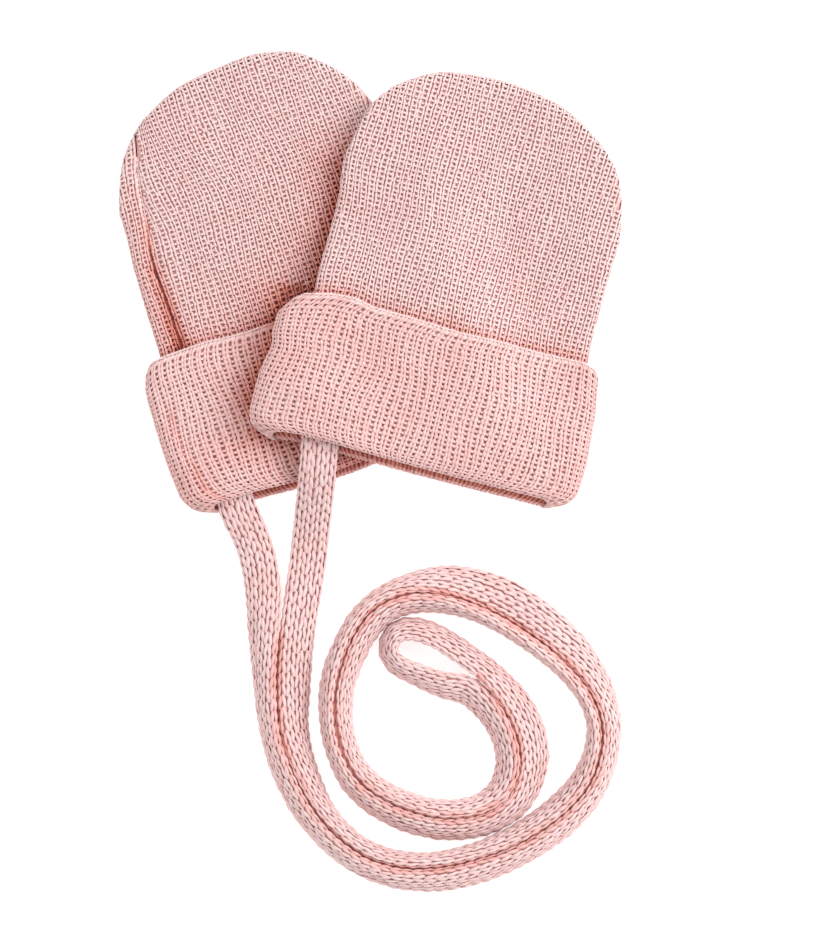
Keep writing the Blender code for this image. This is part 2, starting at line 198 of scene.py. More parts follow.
def read(table: tuple, key: str, column: str, value: Array) -> Array:
    """A column of a table, read between its rows on a curve that never overshoots them.

    Args:
        table: rows with named columns, in the order of the key.
        key: the column that value is measured on.
        column: the column to read.
        value: the places to read it at.

    Returns:
        The column's value at each place.
    """
    xs = np.array([getattr(row, key) for row in table], float)
    ys = np.array([getattr(row, column) for row in table], float)
    runs = np.diff(xs)
    slopes = np.diff(ys) / runs
    bends = np.concatenate([slopes[:1], np.zeros(len(xs) - 2), slopes[-1:]])
    one, two = slopes[:-1], slopes[1:]
    same = one * two > 0
    bends[1:-1] = np.where(same, 2 * one * two / np.where(same, one + two, 1.0), 0.0)
    x = np.clip(value, xs[0], xs[-1])
    i = np.clip(np.searchsorted(xs, x, side="right") - 1, 0, len(runs) - 1)
    t = (x - xs[i]) / runs[i]
    return ((2 * t**3 - 3 * t**2 + 1) * ys[i] + (t**3 - 2 * t**2 + t) * runs[i] * bends[i]
            + (3 * t**2 - 2 * t**3) * ys[i + 1] + (t**3 - t**2) * runs[i] * bends[i + 1])


def place(x: Array, y: Array, z: Array) -> Array:
    """Points in metres, counted from the middle of the footprint and never under the table.

    Args:
        x: table coordinate to the right.
        y: table coordinate towards the crowns.
        z: height above the table.

    Returns:
        An array with a last axis of three.
    """
    beside, along = x - FOOTPRINT_MIDDLE[0], y - FOOTPRINT_MIDDLE[1]
    return np.stack([beside, along, np.maximum(z, LOWEST)], -1) * MM


def edge_share(half: float) -> float:
    """The share of p that the rounding at each edge of a flattened tube takes."""
    turn = math.pi * half / 2
    return turn / (TUBE_WIDTH - 2 * half + 2 * turn)


def across(left: Array, right: Array, half: float, depth: Array,
           p: Array) -> tuple[Array, Array, Array]:
    """Points of a flattened tube's section, depth inside its outer face.

    Args:
        left: the tube's left edge.
        right: its right edge.
        half: half of its thickness.
        depth: how far inside the outer face.
        p: from -1 at the right edge, along the underside to 0 at the left edge, and back over
            the upper side to 1.

    Returns:
        The place across, the height from the mid-plane, and the sine of the angle round an edge.
    """
    share = edge_share(half)
    radius = half - depth
    size = np.abs(p)
    near, far = np.minimum(size / share, 1.0), np.minimum((1 - size) / share, 1.0)
    sine = np.sin(np.pi / 2 * np.minimum(near, far))
    flat = left + half + (right - left - 2 * half) * (size - share) / (1 - 2 * share)
    u = np.where(near < 1, left + half - radius * np.cos(np.pi / 2 * near),
                 np.where(far < 1, right - half + radius * np.cos(np.pi / 2 * far), flat))
    sign = np.where(p < 0, -1.0, 1.0)
    return u, sign * radius * sine, sign * sine


# --- meshes ---
def signed_volume(points: Array, triangles: Array) -> float:
    """Six times the volume inside a closed mesh, below zero if it is inside out."""
    a, b, c = (points[triangles[:, k]] for k in range(3))
    return float((a * np.cross(b, c)).sum())


def flipped(triangles: Array, corner_uv: Array) -> tuple[Array, Array]:
    """Triangles that face the other way, with the map of their corners."""
    return triangles[:, ::-1], corner_uv.reshape(-1, 3, 2)[:, ::-1].reshape(-1, 2)


def make_object(name: str, points: Array, triangles: Array, corner_uv: Array,
                tone: Array, depth: Array) -> Object:
    """A smooth mesh object at the origin, with a UV map and two point attributes.

    Args:
        name: the object's and the mesh's name.
        points: one row of three metres a vertex.
        triangles: one row of three vertex numbers a face.
        corner_uv: one row of two for each face's corner.
        tone: each vertex's shade of the yarn, 0 to 1.
        depth: how deep in the knit each vertex lies, 0 to 1, which sets its painted shade.

    Returns:
        The object, linked to the scene.
    """
    if signed_volume(points, triangles) < 0:
        triangles, corner_uv = flipped(triangles, corner_uv)
    mesh = bpy.data.meshes.new(name)
    mesh.vertices.add(len(points))
    mesh.vertices.foreach_set("co", points.astype(np.float32).ravel())
    mesh.loops.add(triangles.size)
    mesh.loops.foreach_set("vertex_index", triangles.astype(np.int32).ravel())
    mesh.polygons.add(len(triangles))
    mesh.polygons.foreach_set("loop_start", np.arange(0, triangles.size, 3, dtype=np.int32))
    mesh.update(calc_edges=True)
    mesh.uv_layers.new(name="knit").uv.foreach_set("vector", corner_uv.astype(np.float32).ravel())
    for label, values in (("tone", tone), ("depth", depth)):
        data = mesh.attributes.new(label, "FLOAT", "POINT").data
        data.foreach_set("value", values.astype(np.float32))
    mesh.shade_smooth()
    thing = bpy.data.objects.new(name, mesh)
    bpy.context.scene.collection.objects.link(thing)
    return thing


def quilt(rows: int, columns: int, round_rows: bool, round_columns: bool) -> Array:
    """Triangles of a grid of vertices numbered row by row.

    Args:
        rows: the number of rows.
        columns: the number of columns.
        round_rows: whether the last row joins the first.
        round_columns: whether the last column joins the first.

    Returns:
        One row of three vertex numbers a triangle.
    """
    r, c = np.meshgrid(np.arange(rows if round_rows else rows - 1),
                       np.arange(columns if round_columns else columns - 1), indexing="ij")
    r, c = r.ravel(), c.ravel()
    up, on = (r + 1) % rows, (c + 1) % columns
    a, b, d, e = r * columns + c, r * columns + on, up * columns + on, up * columns + c
    return np.concatenate([np.stack([a, b, d], 1), np.stack([a, d, e], 1)])


GRAIN_SPREAD = 1.08     # of a grain's rings, against even shares of its length
GRAIN_SWAY = 0.45       # how much of a grain's slant is taken as a soft S
GRAIN_TIP_DEPTH = 0.12  # painted shade at a grain's ends, given as a depth in the knit
GRAIN_SIDE_DEPTH = 0.1  # painted shade down its sides, most underneath; its back is at 0


class Mould(NamedTuple):
    """A small form that is laid many times: its points (across, along, out), faces, map and each
    point's painted shade.
    """

    points: Array
    triangles: Array
    corner_uv: Array
    deep: Array


@dataclass(frozen=True)
class Grain:
    """A grain of yarn: one leg of a stitch, or the loop across a groove."""

    foot: tuple[float, float]       # across and along, from the stitch's place
    head: tuple[float, float]
    half_width: float
    half_height: float
    lift: float                     # of its middle above the cloth's outer face
    dip: float                      # by which its two ends lie lower than that
    sides: int = 5
    rings: int = 3
    fullness: float = 0.55          # towards 0 its ends are blunter

    def mould(self, mirrored: bool = False) -> Mould:
        """Models the grain once, as a spindle that lies along a soft S.

        Args:
            mirrored: whether it is the stitch's left leg.

        Returns:
            The grain's mould.
        """
        foot, head = np.array(self.foot), np.array(self.head)
        run = head - foot
        run /= np.hypot(*run)
        beside = np.array([run[1], -run[0]])
        shares = 0.5 + ((np.arange(self.rings) + 0.5) / self.rings - 0.5) * GRAIN_SPREAD
        angles = np.arange(self.sides) * 2 * math.pi / self.sides + math.pi / 2
        # deep: each point's painted shade, darker at the ends and down the sides
        points, deep = [], []
        for t in (0.0, *shares, 1.0):
            bend = (1 - GRAIN_SWAY) * t + GRAIN_SWAY * (t * t * (3 - 2 * t))
            middle = foot + (head - foot) * (bend, t)
            height = self.lift - self.dip * (2 * t - 1) ** 2
            if t in (0.0, 1.0):
                points.append([*middle, height])
                deep.append(GRAIN_TIP_DEPTH)
                continue
            size = math.sin(math.pi * t) ** self.fullness
            for angle in angles:
                side = beside * self.half_width * size * math.cos(angle)
                up = size * math.sin(angle)
                points.append([*(middle + side), height + self.half_height * up])
                deep.append(GRAIN_SIDE_DEPTH * (1 - up))
        n, rings = self.sides, self.rings
        faces, uv = [], []
        for k in range(n):
            j = (k + 1) % n
            u0, u1, last = k / n, (k + 1) / n, 1 + (rings - 1) * n
            faces.append((0, 1 + j, 1 + k))
            uv += [((u0 + u1) / 2, 0.0), (u1, shares[0]), (u0, shares[0])]
            for r in range(rings - 1):
                low, high = 1 + r * n, 1 + (r + 1) * n
                faces.append((low + k, low + j, high + j))
                uv += [(u0, shares[r]), (u1, shares[r]), (u1, shares[r + 1])]
                faces.append((low + k, high + j, high + k))
                uv += [(u0, shares[r]), (u1, shares[r + 1]), (u0, shares[r + 1])]
            faces.append((last + k, last + j, 1 + rings * n))
            uv += [(u0, shares[-1]), (u1, shares[-1]), ((u0 + u1) / 2, 1.0)]
        points, faces, uv = np.array(points, float), np.array(faces), np.array(uv, float)
        if mirrored:
            points[:, 0] *= -1
            faces, uv = flipped(faces, uv)
        return Mould(points, faces, uv, np.array(deep))


@dataclass
class Knitting:
    """Grains laid over a skin, gathered until they are joined into one piece."""

    skin: Skin                      # from across, along and out to points
    seed: int
    loose: float = 0.06             # by which a grain strays from its place
    uneven: float = 0.07            # by which grains differ in height
    damped: float = 0.6             # share of the first that is up, and of the second across
    shade_whole: float = 0.32        # how much painted shade being closed in lays on the whole of a grain
    shade_sides: float = 3.5         # and how much more on its own deep parts

    def __post_init__(self) -> None:
        """Starts with nothing laid."""
        self.dice = np.random.default_rng(self.seed)
        self.parts: list[tuple[Array, Array, Array, Array, Array]] = []
        self.count = 0

    def lay(self, mould: Mould, over: Array, along: Array, spread: float,
            shade_amount: Array | float = 0.0, shade_tint: float = 0.0) -> None:
        """Lays one grain at each place.

        Args:
            mould: the grain to lay.
            over: each place across the cloth.
            along: each place along its wale.
            spread: how much of the skin's own measure across one millimetre is.
            shade_amount: the painted shade of each grain where it is closed in, most on its sides.
            shade_tint: painted shade laid evenly over the whole of every grain.
        """
        amount = len(over)
        stray = self.dice.normal(0.0, self.loose, (amount, 3)) * (1.0, 1.0, self.damped)
        size = 1 + self.dice.normal(0.0, self.uneven, (amount, 1))
        local = mould.points[None] + stray[:, None]
        local[..., 2] = mould.points[None, :, 2] * size + stray[:, 2:3]
        middle = mould.points.mean(0)[0]
        local[..., 0] = middle + (local[..., 0] - middle) * (1 + (size - 1) * self.damped)
        points = self.skin(over[:, None] + local[..., 0] * spread, along[:, None] + local[..., 1],
                           local[..., 2])
        tone = np.repeat(self.dice.uniform(0.0, 1.0, amount), len(mould.points))
        firsts = self.count + np.arange(amount) * len(mould.points)
        faces = mould.triangles[None] + firsts[:, None, None]
        # painted shade: the grain's own deep parts, the even tint, and where it is closed in
        closed = np.broadcast_to(shade_amount, amount)[:, None]
        depth = mould.deep + shade_tint + closed * (self.shade_whole + self.shade_sides * mould.deep)
        corner_uv = np.tile(mould.corner_uv, (amount, 1))
        self.parts.append((points.reshape(-1, 3), faces.reshape(-1, 3), corner_uv, tone,
                           np.clip(depth, 0, 1).ravel()))
        self.count += amount * len(mould.points)

    def join(self, name: str) -> Object:
        """Joins all that was laid into one object of that name."""
        return make_object(name, *(np.concatenate(column) for column in zip(*self.parts)))


def panel_wall(name: str, outer: Array, inner: Array, uv: Array, depth: Array) -> Object:
    """A closed cloth wall between two grids of points of the same shape.

    Args:
        name: the piece's name.
        outer: rows and columns of points on the outer face.
        inner: the same on the inner face.
        uv: each point's place on the flat cloth.
        depth: how deep in the knit each point of the outer face lies, which sets its painted shade.

    Returns:
        The wall as an object.
    """
    count, columns = outer.shape[:2]
    size = count * columns
    face = quilt(count, columns, False, False)
    grid = np.arange(size).reshape(count, columns)
    ring = np.concatenate([grid[0], grid[1:, -1], grid[-1, -2::-1], grid[-2:0:-1, 0]])
    on = np.roll(ring, -1)
    rim = np.concatenate([np.stack([on, ring, ring + size], 1),
                          np.stack([on, ring + size, on + size], 1)])
    triangles = np.concatenate([face, face[:, ::-1] + size, rim])
    both = np.concatenate([uv.reshape(-1, 2)] * 2)
    points = np.concatenate([outer.reshape(-1, 3), inner.reshape(-1, 3)])
    return make_object(name, points, triangles, both[triangles].reshape(-1, 2),
                       np.full(2 * size, EVEN_TONE),
                       np.concatenate([depth.ravel(), np.full(size, INSIDE_DEPTH)]))


def tube_wall(name: str, rings: Array, uv: Array, depth: Array) -> Object:
    """A closed wall swept by a closed profile round a tube.

    Args:
        name: the piece's name.
        rings: a ring of points for each of the profile's points, the last joining the first.
        uv: each point's place on the flat cloth.
        depth: how deep in the knit each point lies, which sets its painted shade.

    Returns:
        The wall as an object.
    """
    triangles = quilt(*rings.shape[:2], True, True)
    flat = uv.reshape(-1, 2)
    return make_object(name, rings.reshape(-1, 3), triangles, flat[triangles].reshape(-1, 2),
                       np.full(len(flat), EVEN_TONE), depth.ravel())


# --- finishes ---
def add_node(tree: Tree, kind: str, inputs: dict) -> Node:
    """Adds a shader node to a material.

    Args:
        tree: the material's node tree.
        kind: the node's kind, without its prefix.
        inputs: what set_inputs takes.

    Returns:
        The node.
    """
    node = tree.nodes.new(f"ShaderNode{kind}")
    set_inputs(tree, node, inputs)
    return node


def set_inputs(tree: Tree, node: Node, inputs: dict) -> None:
    """Sets a node's inputs, or joins them where the value is another node's socket.

    Args:
        tree: the material's node tree.
        node: the node.
        inputs: a value or a socket for the name or number of each input.
    """
    for key, value in inputs.items():
        if isinstance(value, Socket):
            tree.links.new(value, node.inputs[key])
        else:
            node.inputs[key].default_value = value


@dataclass(frozen=True)
class YarnFinish:
    """Soft matt yarn: pale on top, and painted shade redder down between the stitches."""

    name: str
    # pale is the lit yarn's own colour; rosy, warm and deep are painted shade, by depth in the knit
    pale: tuple[float, float, float] = (0.82, 0.635, 0.625)
    rosy_shade: tuple[float, float, float] = (0.80, 0.44, 0.41)
    warm_shade: tuple[float, float, float] = (0.66, 0.22, 0.165)
    deep: tuple[float, float, float] = (0.22, 0.03, 0.02)
    rosy_shade_at: float = 0.3            # the depths in the knit at which it has these painted shade colours
    warm_shade_at: float = 0.62
    between: tuple[float, float, float] = (0.66, 0.43, 0.41)    # painted shade, multiplied in where stitches close it in
    shade_reach: float = 0.0012          # reach of that painted shade, in metres
    open_above: float = 0.48        # share of open sky at which it starts
    closed_below: float = 0.12      # and at which it is complete
    uneven: float = 0.10            # by which stitches differ in depth of colour
    mottle: float = 90.0
    mottle_depth: float = 0.16
    twist: float = 7.0 / 6.0        # scale of the plies along a grain
    twist_height: float = 0.00004
    fibre: float = 2600.0
    fibre_height: float = 0.00005
    sheen_tint: tuple[float, float, float] = (1.0, 0.93, 0.94)

    def material(self) -> bpy.types.Material:
        """Builds the finish as a node material.

        Returns:
            The material.
        """
        material = bpy.data.materials.new(self.name)
        material.use_nodes = True
        tree = material.node_tree
        place_of = tree.nodes.new("ShaderNodeTexCoord").outputs
        set_inputs(tree, tree.nodes["Principled BSDF"], {
            "Base Color": self.colour(tree, place_of["Object"]),
            "Normal": self.relief(tree, place_of["Object"], place_of["UV"]),
            "Roughness": 0.88, "Specular IOR Level": 0.2, "Sheen Weight": 0.15,
            "Sheen Roughness": 0.45, "Sheen Tint": (*self.sheen_tint, 1.0)})
        return material

    def colour(self, tree: Tree, place_of: Socket) -> Socket:
        """The yarn's colour with painted shade, by depth in the knit and by how stitches close it
        in.

        Args:
            tree: the material's node tree.
            place_of: the object's own coordinates.

        Returns:
            The colour's socket.
        """
        def total(operation: str, one: object, two: object) -> Socket:
            """A sum, difference or product of two values or sockets."""
            node = add_node(tree, "Math", {0: one, 1: two})
            node.operation = operation
            return node.outputs[0]

        depth, tone = tree.nodes.new("ShaderNodeAttribute"), tree.nodes.new("ShaderNodeAttribute")
        depth.attribute_name, tone.attribute_name = "depth", "tone"
        mottle = add_node(tree, "TexNoise",
                          {"Vector": place_of, "Scale": self.mottle, "Detail": 3.0})
        stray = total("MULTIPLY", total("SUBTRACT", tone.outputs["Fac"], 0.5), self.uneven)
        patch = total("MULTIPLY", total("SUBTRACT", mottle.outputs["Fac"], 0.5), self.mottle_depth)
        ramp = add_node(tree, "ValToRGB",
                        {"Fac": total("ADD", total("ADD", depth.outputs["Fac"], stray), patch)})
        stops = ramp.color_ramp.elements
        stops[0].color, stops[1].color = (*self.pale, 1.0), (*self.deep, 1.0)
        stops.new(self.rosy_shade_at).color = (*self.rosy_shade, 1.0)
        stops.new(self.warm_shade_at).color = (*self.warm_shade, 1.0)
        # painted shade: the colour is multiplied towards between where ambient occlusion finds
        # stitches close by
        closed = add_node(tree, "AmbientOcclusion", {"Distance": self.shade_reach})
        closed.samples = 5
        near = add_node(tree, "MapRange", {"Value": closed.outputs["AO"],
                                           "From Min": self.open_above,
                                           "From Max": self.closed_below})
        dim = tree.nodes.new("ShaderNodeMix")
        dim.data_type = "RGBA"
        dim.blend_type = "MULTIPLY"
        set_inputs(tree, dim, {"Factor": near.outputs["Result"], "A": ramp.outputs["Color"],
                               "B": (*self.between, 1.0)})
        return dim.outputs["Result"]

    def relief(self, tree: Tree, place_of: Socket, uv: Socket) -> Socket:
        """The twist of the plies along each grain and the yarn's fibres.

        Args:
            tree: the material's node tree.
            place_of: the object's own coordinates.
            uv: the place along and round a grain.

        Returns:
            The normal's socket.
        """
        twist = add_node(tree, "TexWave", {"Vector": uv, "Scale": self.twist, "Distortion": 0.6})
        twist.bands_direction = "DIAGONAL"
        plies = add_node(tree, "Bump",
                         {"Height": twist.outputs["Fac"], "Distance": self.twist_height})
        fibre = add_node(tree, "TexNoise", {"Vector": place_of, "Scale": self.fibre, "Detail": 2.0})
        fuzz = add_node(tree, "Bump", {"Height": fibre.outputs["Fac"],
                                       "Distance": self.fibre_height,
                                       "Normal": plies.outputs["Normal"]})
        return fuzz.outputs["Normal"]


STITCH_YARN = YarnFinish("stitch_yarn")
GROUND_YARN = YarnFinish("ground_yarn")
CORD_YARN = YarnFinish("cord_yarn", twist=1.5)


# --- the mittens ---
@dataclass(frozen=True)
class Pattern:
    """A mitten's cut and how it lies. Heights v run up its axis from the mouth."""

    name: str
    x: float
    y: float
    lean: float
    body: tuple[Side, ...]
    crown: tuple[Crown, ...]
    cuff: tuple[Side, ...]
    hem_low: float
    hem_rise: float
    hem_reach: float
    hem_corner: float               # by which its left end hangs lower
    strip_ribs: int                 # ribs of the back that show beyond the side seam
    cord_u: float
    raised: bool                    # whether it lies on the other mitten
    rim: tuple[Shift, ...]          # how much higher the cuff's rim is, across it
    body_creases: tuple[Crease, ...]
    cuff_creases: tuple[Crease, ...]


LEFT = Pattern(
    name="left", x=-4.8, y=-43.4, lean=-20.0,
    body=listed(Side, (0.0, -36.5, 35.5), (4.0, -37.5, 37.0), (20.0, -37.2, 36.8),
        (38.0, -33.9, 34.4), (50.0, -33.4, 35.0), (61.0, -32.7, 36.0), (73.0, -31.5, 36.5),
        (100.0, -31.5, 36.5)),
    crown=listed(Crown, (0.0, 74.5), (0.03, 80.5), (0.08, 87.0), (0.2, 94.4), (0.4, 99.3),
        (0.6, 100.1), (0.76, 97.7), (0.88, 91.0), (0.95, 84.0), (1.0, 72.5)),
    cuff=listed(Side, (0.0, -37.0, 35.5), (2.0, -39.3, 38.0), (6.0, -40.9, 39.6),
        (14.0, -41.1, 40.0), (26.0, -40.6, 39.4), (34.0, -40.0, 38.2), (37.6, -38.7, 37.4),
        (39.0, -37.2, 36.6)),
    hem_low=-1.8, hem_rise=3.0, hem_reach=24.0, hem_corner=0.5, strip_ribs=4, cord_u=-27.5,
    raised=False,
    rim=listed(Shift, (-39.5, -2.2), (-38.0, -1.2), (-35.5, -0.4), (-30.0, -0.2), (-24.0, -0.2),
        (-19.0, -0.7), (-14.0, -1.3), (-6.0, -1.5), (36.0, -1.5), (39.0, -2.5)),
    body_creases=listed(Crease, (-8.0, 62.0, 8.0, 46.0, 8.0, 0.5),
        (4.0, 84.0, -20.0, 30.0, 9.0, -0.4), (-18.0, 50.0, -6.0, 26.0, 5.0, -0.4),
        (18.0, 70.0, 12.0, 40.0, 9.0, -0.4)),
    cuff_creases=listed(Crease, (-14.0, 20.0, 10.0, 24.0, 5.0, -0.5),
        (-22.0, 14.0, 4.0, 22.0, 5.0, 0.5)))
RIGHT = Pattern(
    name="right", x=12.0, y=-45.4, lean=15.0,
    body=listed(Side, (0.0, -38.5, 34.0), (4.0, -39.6, 35.9), (20.0, -38.2, 35.2),
        (35.0, -34.9, 32.4), (42.0, -35.3, 32.0), (56.0, -35.3, 32.1), (69.0, -36.6, 32.4),
        (100.0, -36.6, 32.3)),
    crown=listed(Crown, (0.0, 68.0), (0.04, 81.2), (0.13, 88.9), (0.28, 94.3), (0.46, 95.6),
        (0.65, 94.0), (0.81, 88.9), (0.92, 82.4), (0.97, 75.2), (1.0, 65.0)),
    cuff=listed(Side, (0.0, -38.6, 34.5), (1.5, -41.2, 36.6), (5.0, -42.5, 38.2),
        (12.0, -42.6, 38.3), (17.0, -41.9, 37.9), (21.0, -41.4, 37.6), (25.0, -42.0, 37.3),
        (31.0, -42.0, 36.3), (34.0, -39.8, 35.9), (35.2, -37.8, 35.0)),
    hem_low=-0.3, hem_rise=0.6, hem_reach=30.0, hem_corner=1.4, strip_ribs=0, cord_u=-24.8,
    raised=True,
    rim=listed(Shift, (-42.0, -4.0), (-39.0, -2.2), (-35.0, -1.1), (-30.0, 0.0), (-25.5, 0.3),
        (-20.0, -0.6), (-10.0, -0.7), (0.0, -1.1), (10.0, -0.7), (20.0, -0.6), (31.0, -0.2),
        (34.0, -0.8), (36.5, -2.2)),
    body_creases=listed(Crease, (16.2, 50.0, 1.0, 34.0, 1.8, -0.55),
        (-12.0, 60.0, -6.0, 44.0, 9.0, 0.5), (6.0, 78.0, 25.0, 34.0, 8.0, -0.4),
        (24.0, 62.0, -8.0, 30.0, 6.0, 0.4), (-22.0, 44.0, 18.0, 20.0, 5.0, -0.4)),
    cuff_creases=listed(Crease, (-30.0, 12.0, -12.0, 22.0, 5.0, 0.8),
        (-18.0, 18.0, -8.0, 26.0, 5.0, -0.6), (4.0, 14.0, 14.0, 26.0, 7.0, 0.5),
        (20.0, 20.0, 12.0, 24.0, 6.0, -0.5)))


def on_table(pattern: Pattern, u: Array, v: Array) -> tuple[Array, Array]:
    """Table coordinates of points across and up a mitten."""
    a = math.radians(pattern.lean)
    return (pattern.x + u * math.cos(a) + v * math.sin(a),
            pattern.y - u * math.sin(a) + v * math.cos(a))


def on_mitten(pattern: Pattern, x: Array, y: Array) -> tuple[Array, Array]:
    """Places across and up a mitten of points of the table."""
    a = math.radians(pattern.lean)
    dx, dy = x - pattern.x, y - pattern.y
    return dx * math.cos(a) - dy * math.sin(a), dx * math.sin(a) + dy * math.cos(a)


def edges(sides: tuple[Side, ...], v: Array) -> tuple[Array, Array]:
    """A mitten's left and right edge at heights above its mouth."""
    return read(sides, "v", "left", v), read(sides, "v", "right", v)


def shelf(x: Array, y: Array) -> Array:
    """Height to which the left mitten raises what lies on it.

    Args:
        x: table coordinate to the right.
        y: table coordinate towards the crowns.

    Returns:
        The height at each point.
    """
    u, v = on_mitten(LEFT, x, y)
    on_body = ease(LEFT.cuff[-1].v, LEFT.cuff[-1].v + DROP, v)
    full, none = (cuff + (body - cuff) * on_body for cuff, body in zip(SHELF_CUFF, SHELF_BODY))
    height = SHELF_TOP - 2 * (HALF_CUFF - HALF_BODY) * on_body
    return height * fade(full, none, u) * ease(-SHELF_MOUTH, 0.0, v)


def folds(creases: tuple[Crease, ...], u: Array, v: Array) -> Array:
    """Height that soft creases add at points of a mitten.

    Args:
        creases: the ridges and troughs.
        u: places across.
        v: places up.

    Returns:
        The height at each point.
    """
    height = np.zeros(np.broadcast(u, v).shape)
    for crease in creases:
        a = math.radians(crease.turn)
        du, dv = u - crease.u, v - crease.v
        beside = (du * math.cos(a) - dv * math.sin(a)) / crease.width
        along = (du * math.sin(a) + dv * math.cos(a)) * 2 / crease.length
        height = height + crease.rise * np.exp(-beside**2 - along**2)
    return height


def sit(pattern: Pattern, u: Array, v: Array, side: Array, height: Array) -> Array:
    """Places points at a height above or below a mitten's mid-plane.

    Args:
        pattern: the mitten.
        u: places across.
        v: places up.
        side: 1 on the front, -1 on the back, 0 at the edges.
        height: height from the mid-plane.

    Returns:
        The points, in metres.
    """
    top = pattern.cuff[-1].v
    hem = pattern.hem_low + pattern.hem_rise * (1 - np.exp(-(u / pattern.hem_reach) ** 2))
    hem = hem - pattern.hem_corner * np.exp(-((u - CORNER_U) / CORNER_REACH) ** 2)
    bow = read(pattern.rim, "at", "by", u) * ease(BOW_START * top, top, v)
    bow = bow * fade(top, top + BOW_FADE, v) + HEM_STEP * side * fade(0.0, FOLD_TOP, v)
    x, y = on_table(pattern, u, v + hem * np.clip(1 - v / top, 0.0, 1.0) + bow)
    middle = HALF_CUFF + (HALF_BODY - HALF_CUFF) * ease(top - 1, top + DROP, v)
    beside = np.abs(u - pattern.cord_u) - SWELL_FLAT
    swell = (CORD_THICK + 2 * SEAM_GAP - HAND_ROOM) * fade(0.0, SWELL_FADE, beside)
    swell = swell * np.clip(side, 0.0, 1.0) * fade(TUCK + 1, TUCK + 1 + SWELL_FADE, v)
    ground = shelf(x, y) if pattern.raised else 0.0
    return place(x, y, ground + middle + swell + height)


@dataclass(frozen=True)
class Gauge:
    """The knit of one kind of cloth: its courses and the grains of a stitch."""

    course: float                   # height of a stitch
    scale: float                    # millimetres of cloth to the whole of p
    leg: Grain
    under_leg: Grain
    loop: Grain                     # across the groove between two ribs


BODY_GAUGE = Gauge(
    course=1.16, scale=70.2,
    leg=Grain((0.28, -0.15), (0.40, 1.50), half_width=0.37, half_height=0.24, lift=0.10, dip=0.10,
              rings=2),
    under_leg=Grain((0.29, -0.05), (0.60, 1.46), half_width=0.35, half_height=0.24, lift=-0.22,
                    dip=0.10, sides=4, rings=2),
    loop=Grain((-0.52, 0.0), (0.52, 0.0), half_width=0.43, half_height=0.23, lift=0.04, dip=0.08,
               sides=4, rings=2))
CUFF_GAUGE = Gauge(
    course=1.2, scale=88.0,
    leg=Grain((0.34, -0.1), (0.46, 1.75), half_width=0.51, half_height=0.28, lift=0.12, dip=0.10),
    under_leg=Grain((0.40, -0.1), (0.52, 1.75), half_width=0.46, half_height=0.28, lift=-0.24,
                    dip=0.12, sides=4, rings=2),
    loop=Grain((-0.70, 0.0), (0.70, 0.0), half_width=0.53, half_height=0.27, lift=0.06, dip=0.10,
               sides=4, rings=2))
INNER_LEG = Grain((0.50, -0.1), (0.60, 1.7), half_width=0.80, half_height=0.26, lift=-0.24,
                  dip=0.08, sides=4, rings=2)
SEAM_GRAIN = Grain((-0.05, -0.3), (0.05, 1.7), half_width=0.55, half_height=0.26, lift=0.0, dip=0.1)
RIM_GRAIN = Grain((-1.0, 0.08), (1.0, -0.08), half_width=0.66, half_height=0.25, lift=0.0, dip=0.10)
CROWN_GRAIN = Grain((0.0, -1.5), (0.0, 1.5), half_width=0.36, half_height=0.24, lift=0.04, dip=0.14,
                    sides=4)

RIM_RADIUS = CLOTH / 2
RIM_CORE = 0.5          # radius of the cloth that the rolled rim's stitches lie on
GROUND_SUNK = 0.42      # of a cuff's cloth below its stitches
FOLD_SUNK = 0.5         # the same in the fold at the mouth
UNDER_SUNK = 0.55       # the same on a body's underside

# --- how the wales run ---
LEG_AWAY = 0.36         # of a stitch's legs from the middle of its wale
TOP_SPARE = 0.4         # courses of a wale left free under the crown's edge
LOOP_STEP = 0.55        # courses from a stitch up to the loop beside it
UNDER_CUFF = 4.0        # height of the body's stitches that the cuff's rim hides
WANDER_CLEAR = 12.0     # how fast wales straighten towards a mitten's edges
SEAM_CLEAR = 15.0       # and towards a side seam
SEAM_FREE = 0.005       # across, that loops keep clear of a seam
LEGS_FREE = 0.008       # the same for legs
SEAM_KEEP = 0.007       # the same for wales that are gathered to it
GATHER = 0.085          # across, by which wales are gathered to the seam at the crown
GATHER_REACH = 0.28
GATHER_RISE = (64.0, 94.0)
SEAM_PULL = 0.085       # reach across of the cloth that goes with the seam's bends
CROWN_INSET = 0.2       # share of an edge's rounding at which the crown's linking starts
CROWN_STEP = 0.62       # between its grains
EVEN_TO = 55.0          # height up to which a body wall's rows are level
LOW_ROWS = 18
HIGH_ROWS = 12
NEAR_TOP = 80.0         # first guess at a wale's length
TOP_ROUNDS = 10         # times that it is bettered beside a bent seam
GROOVE_SUNK = 0.40      # of a body's cloth below its stitches, in a groove
RIB_SWELL = 0.15        # how much less that is under a rib
CUFF_SWELL = 0.2        # the same on a cuff
ROLL_SWELL = 0.08       # and on its rolled rim
FLAT_UNDER = 0.12       # by which the underside of a cuff is flatter
FIRST_COURSE = -2.6     # of a cuff's outer leg, counted round the fold
UNDER_COURSE = -1.5     # the same on its underside
INNER_COURSE = -9.0     # the same on its inner leg
TOP_COURSE = 1.5        # height left free under the rolled rim
RIM_COURSES = ((-0.9, 0.5), (0.2, 0.25), (1.3, 0.0))    # height over the rim, and stagger
LINING_SHADE = 0.5        # painted shade on the cloth inside the rim and the mouth
FOLD_SHADE = 0.2          # the same painted shade where the fold shows
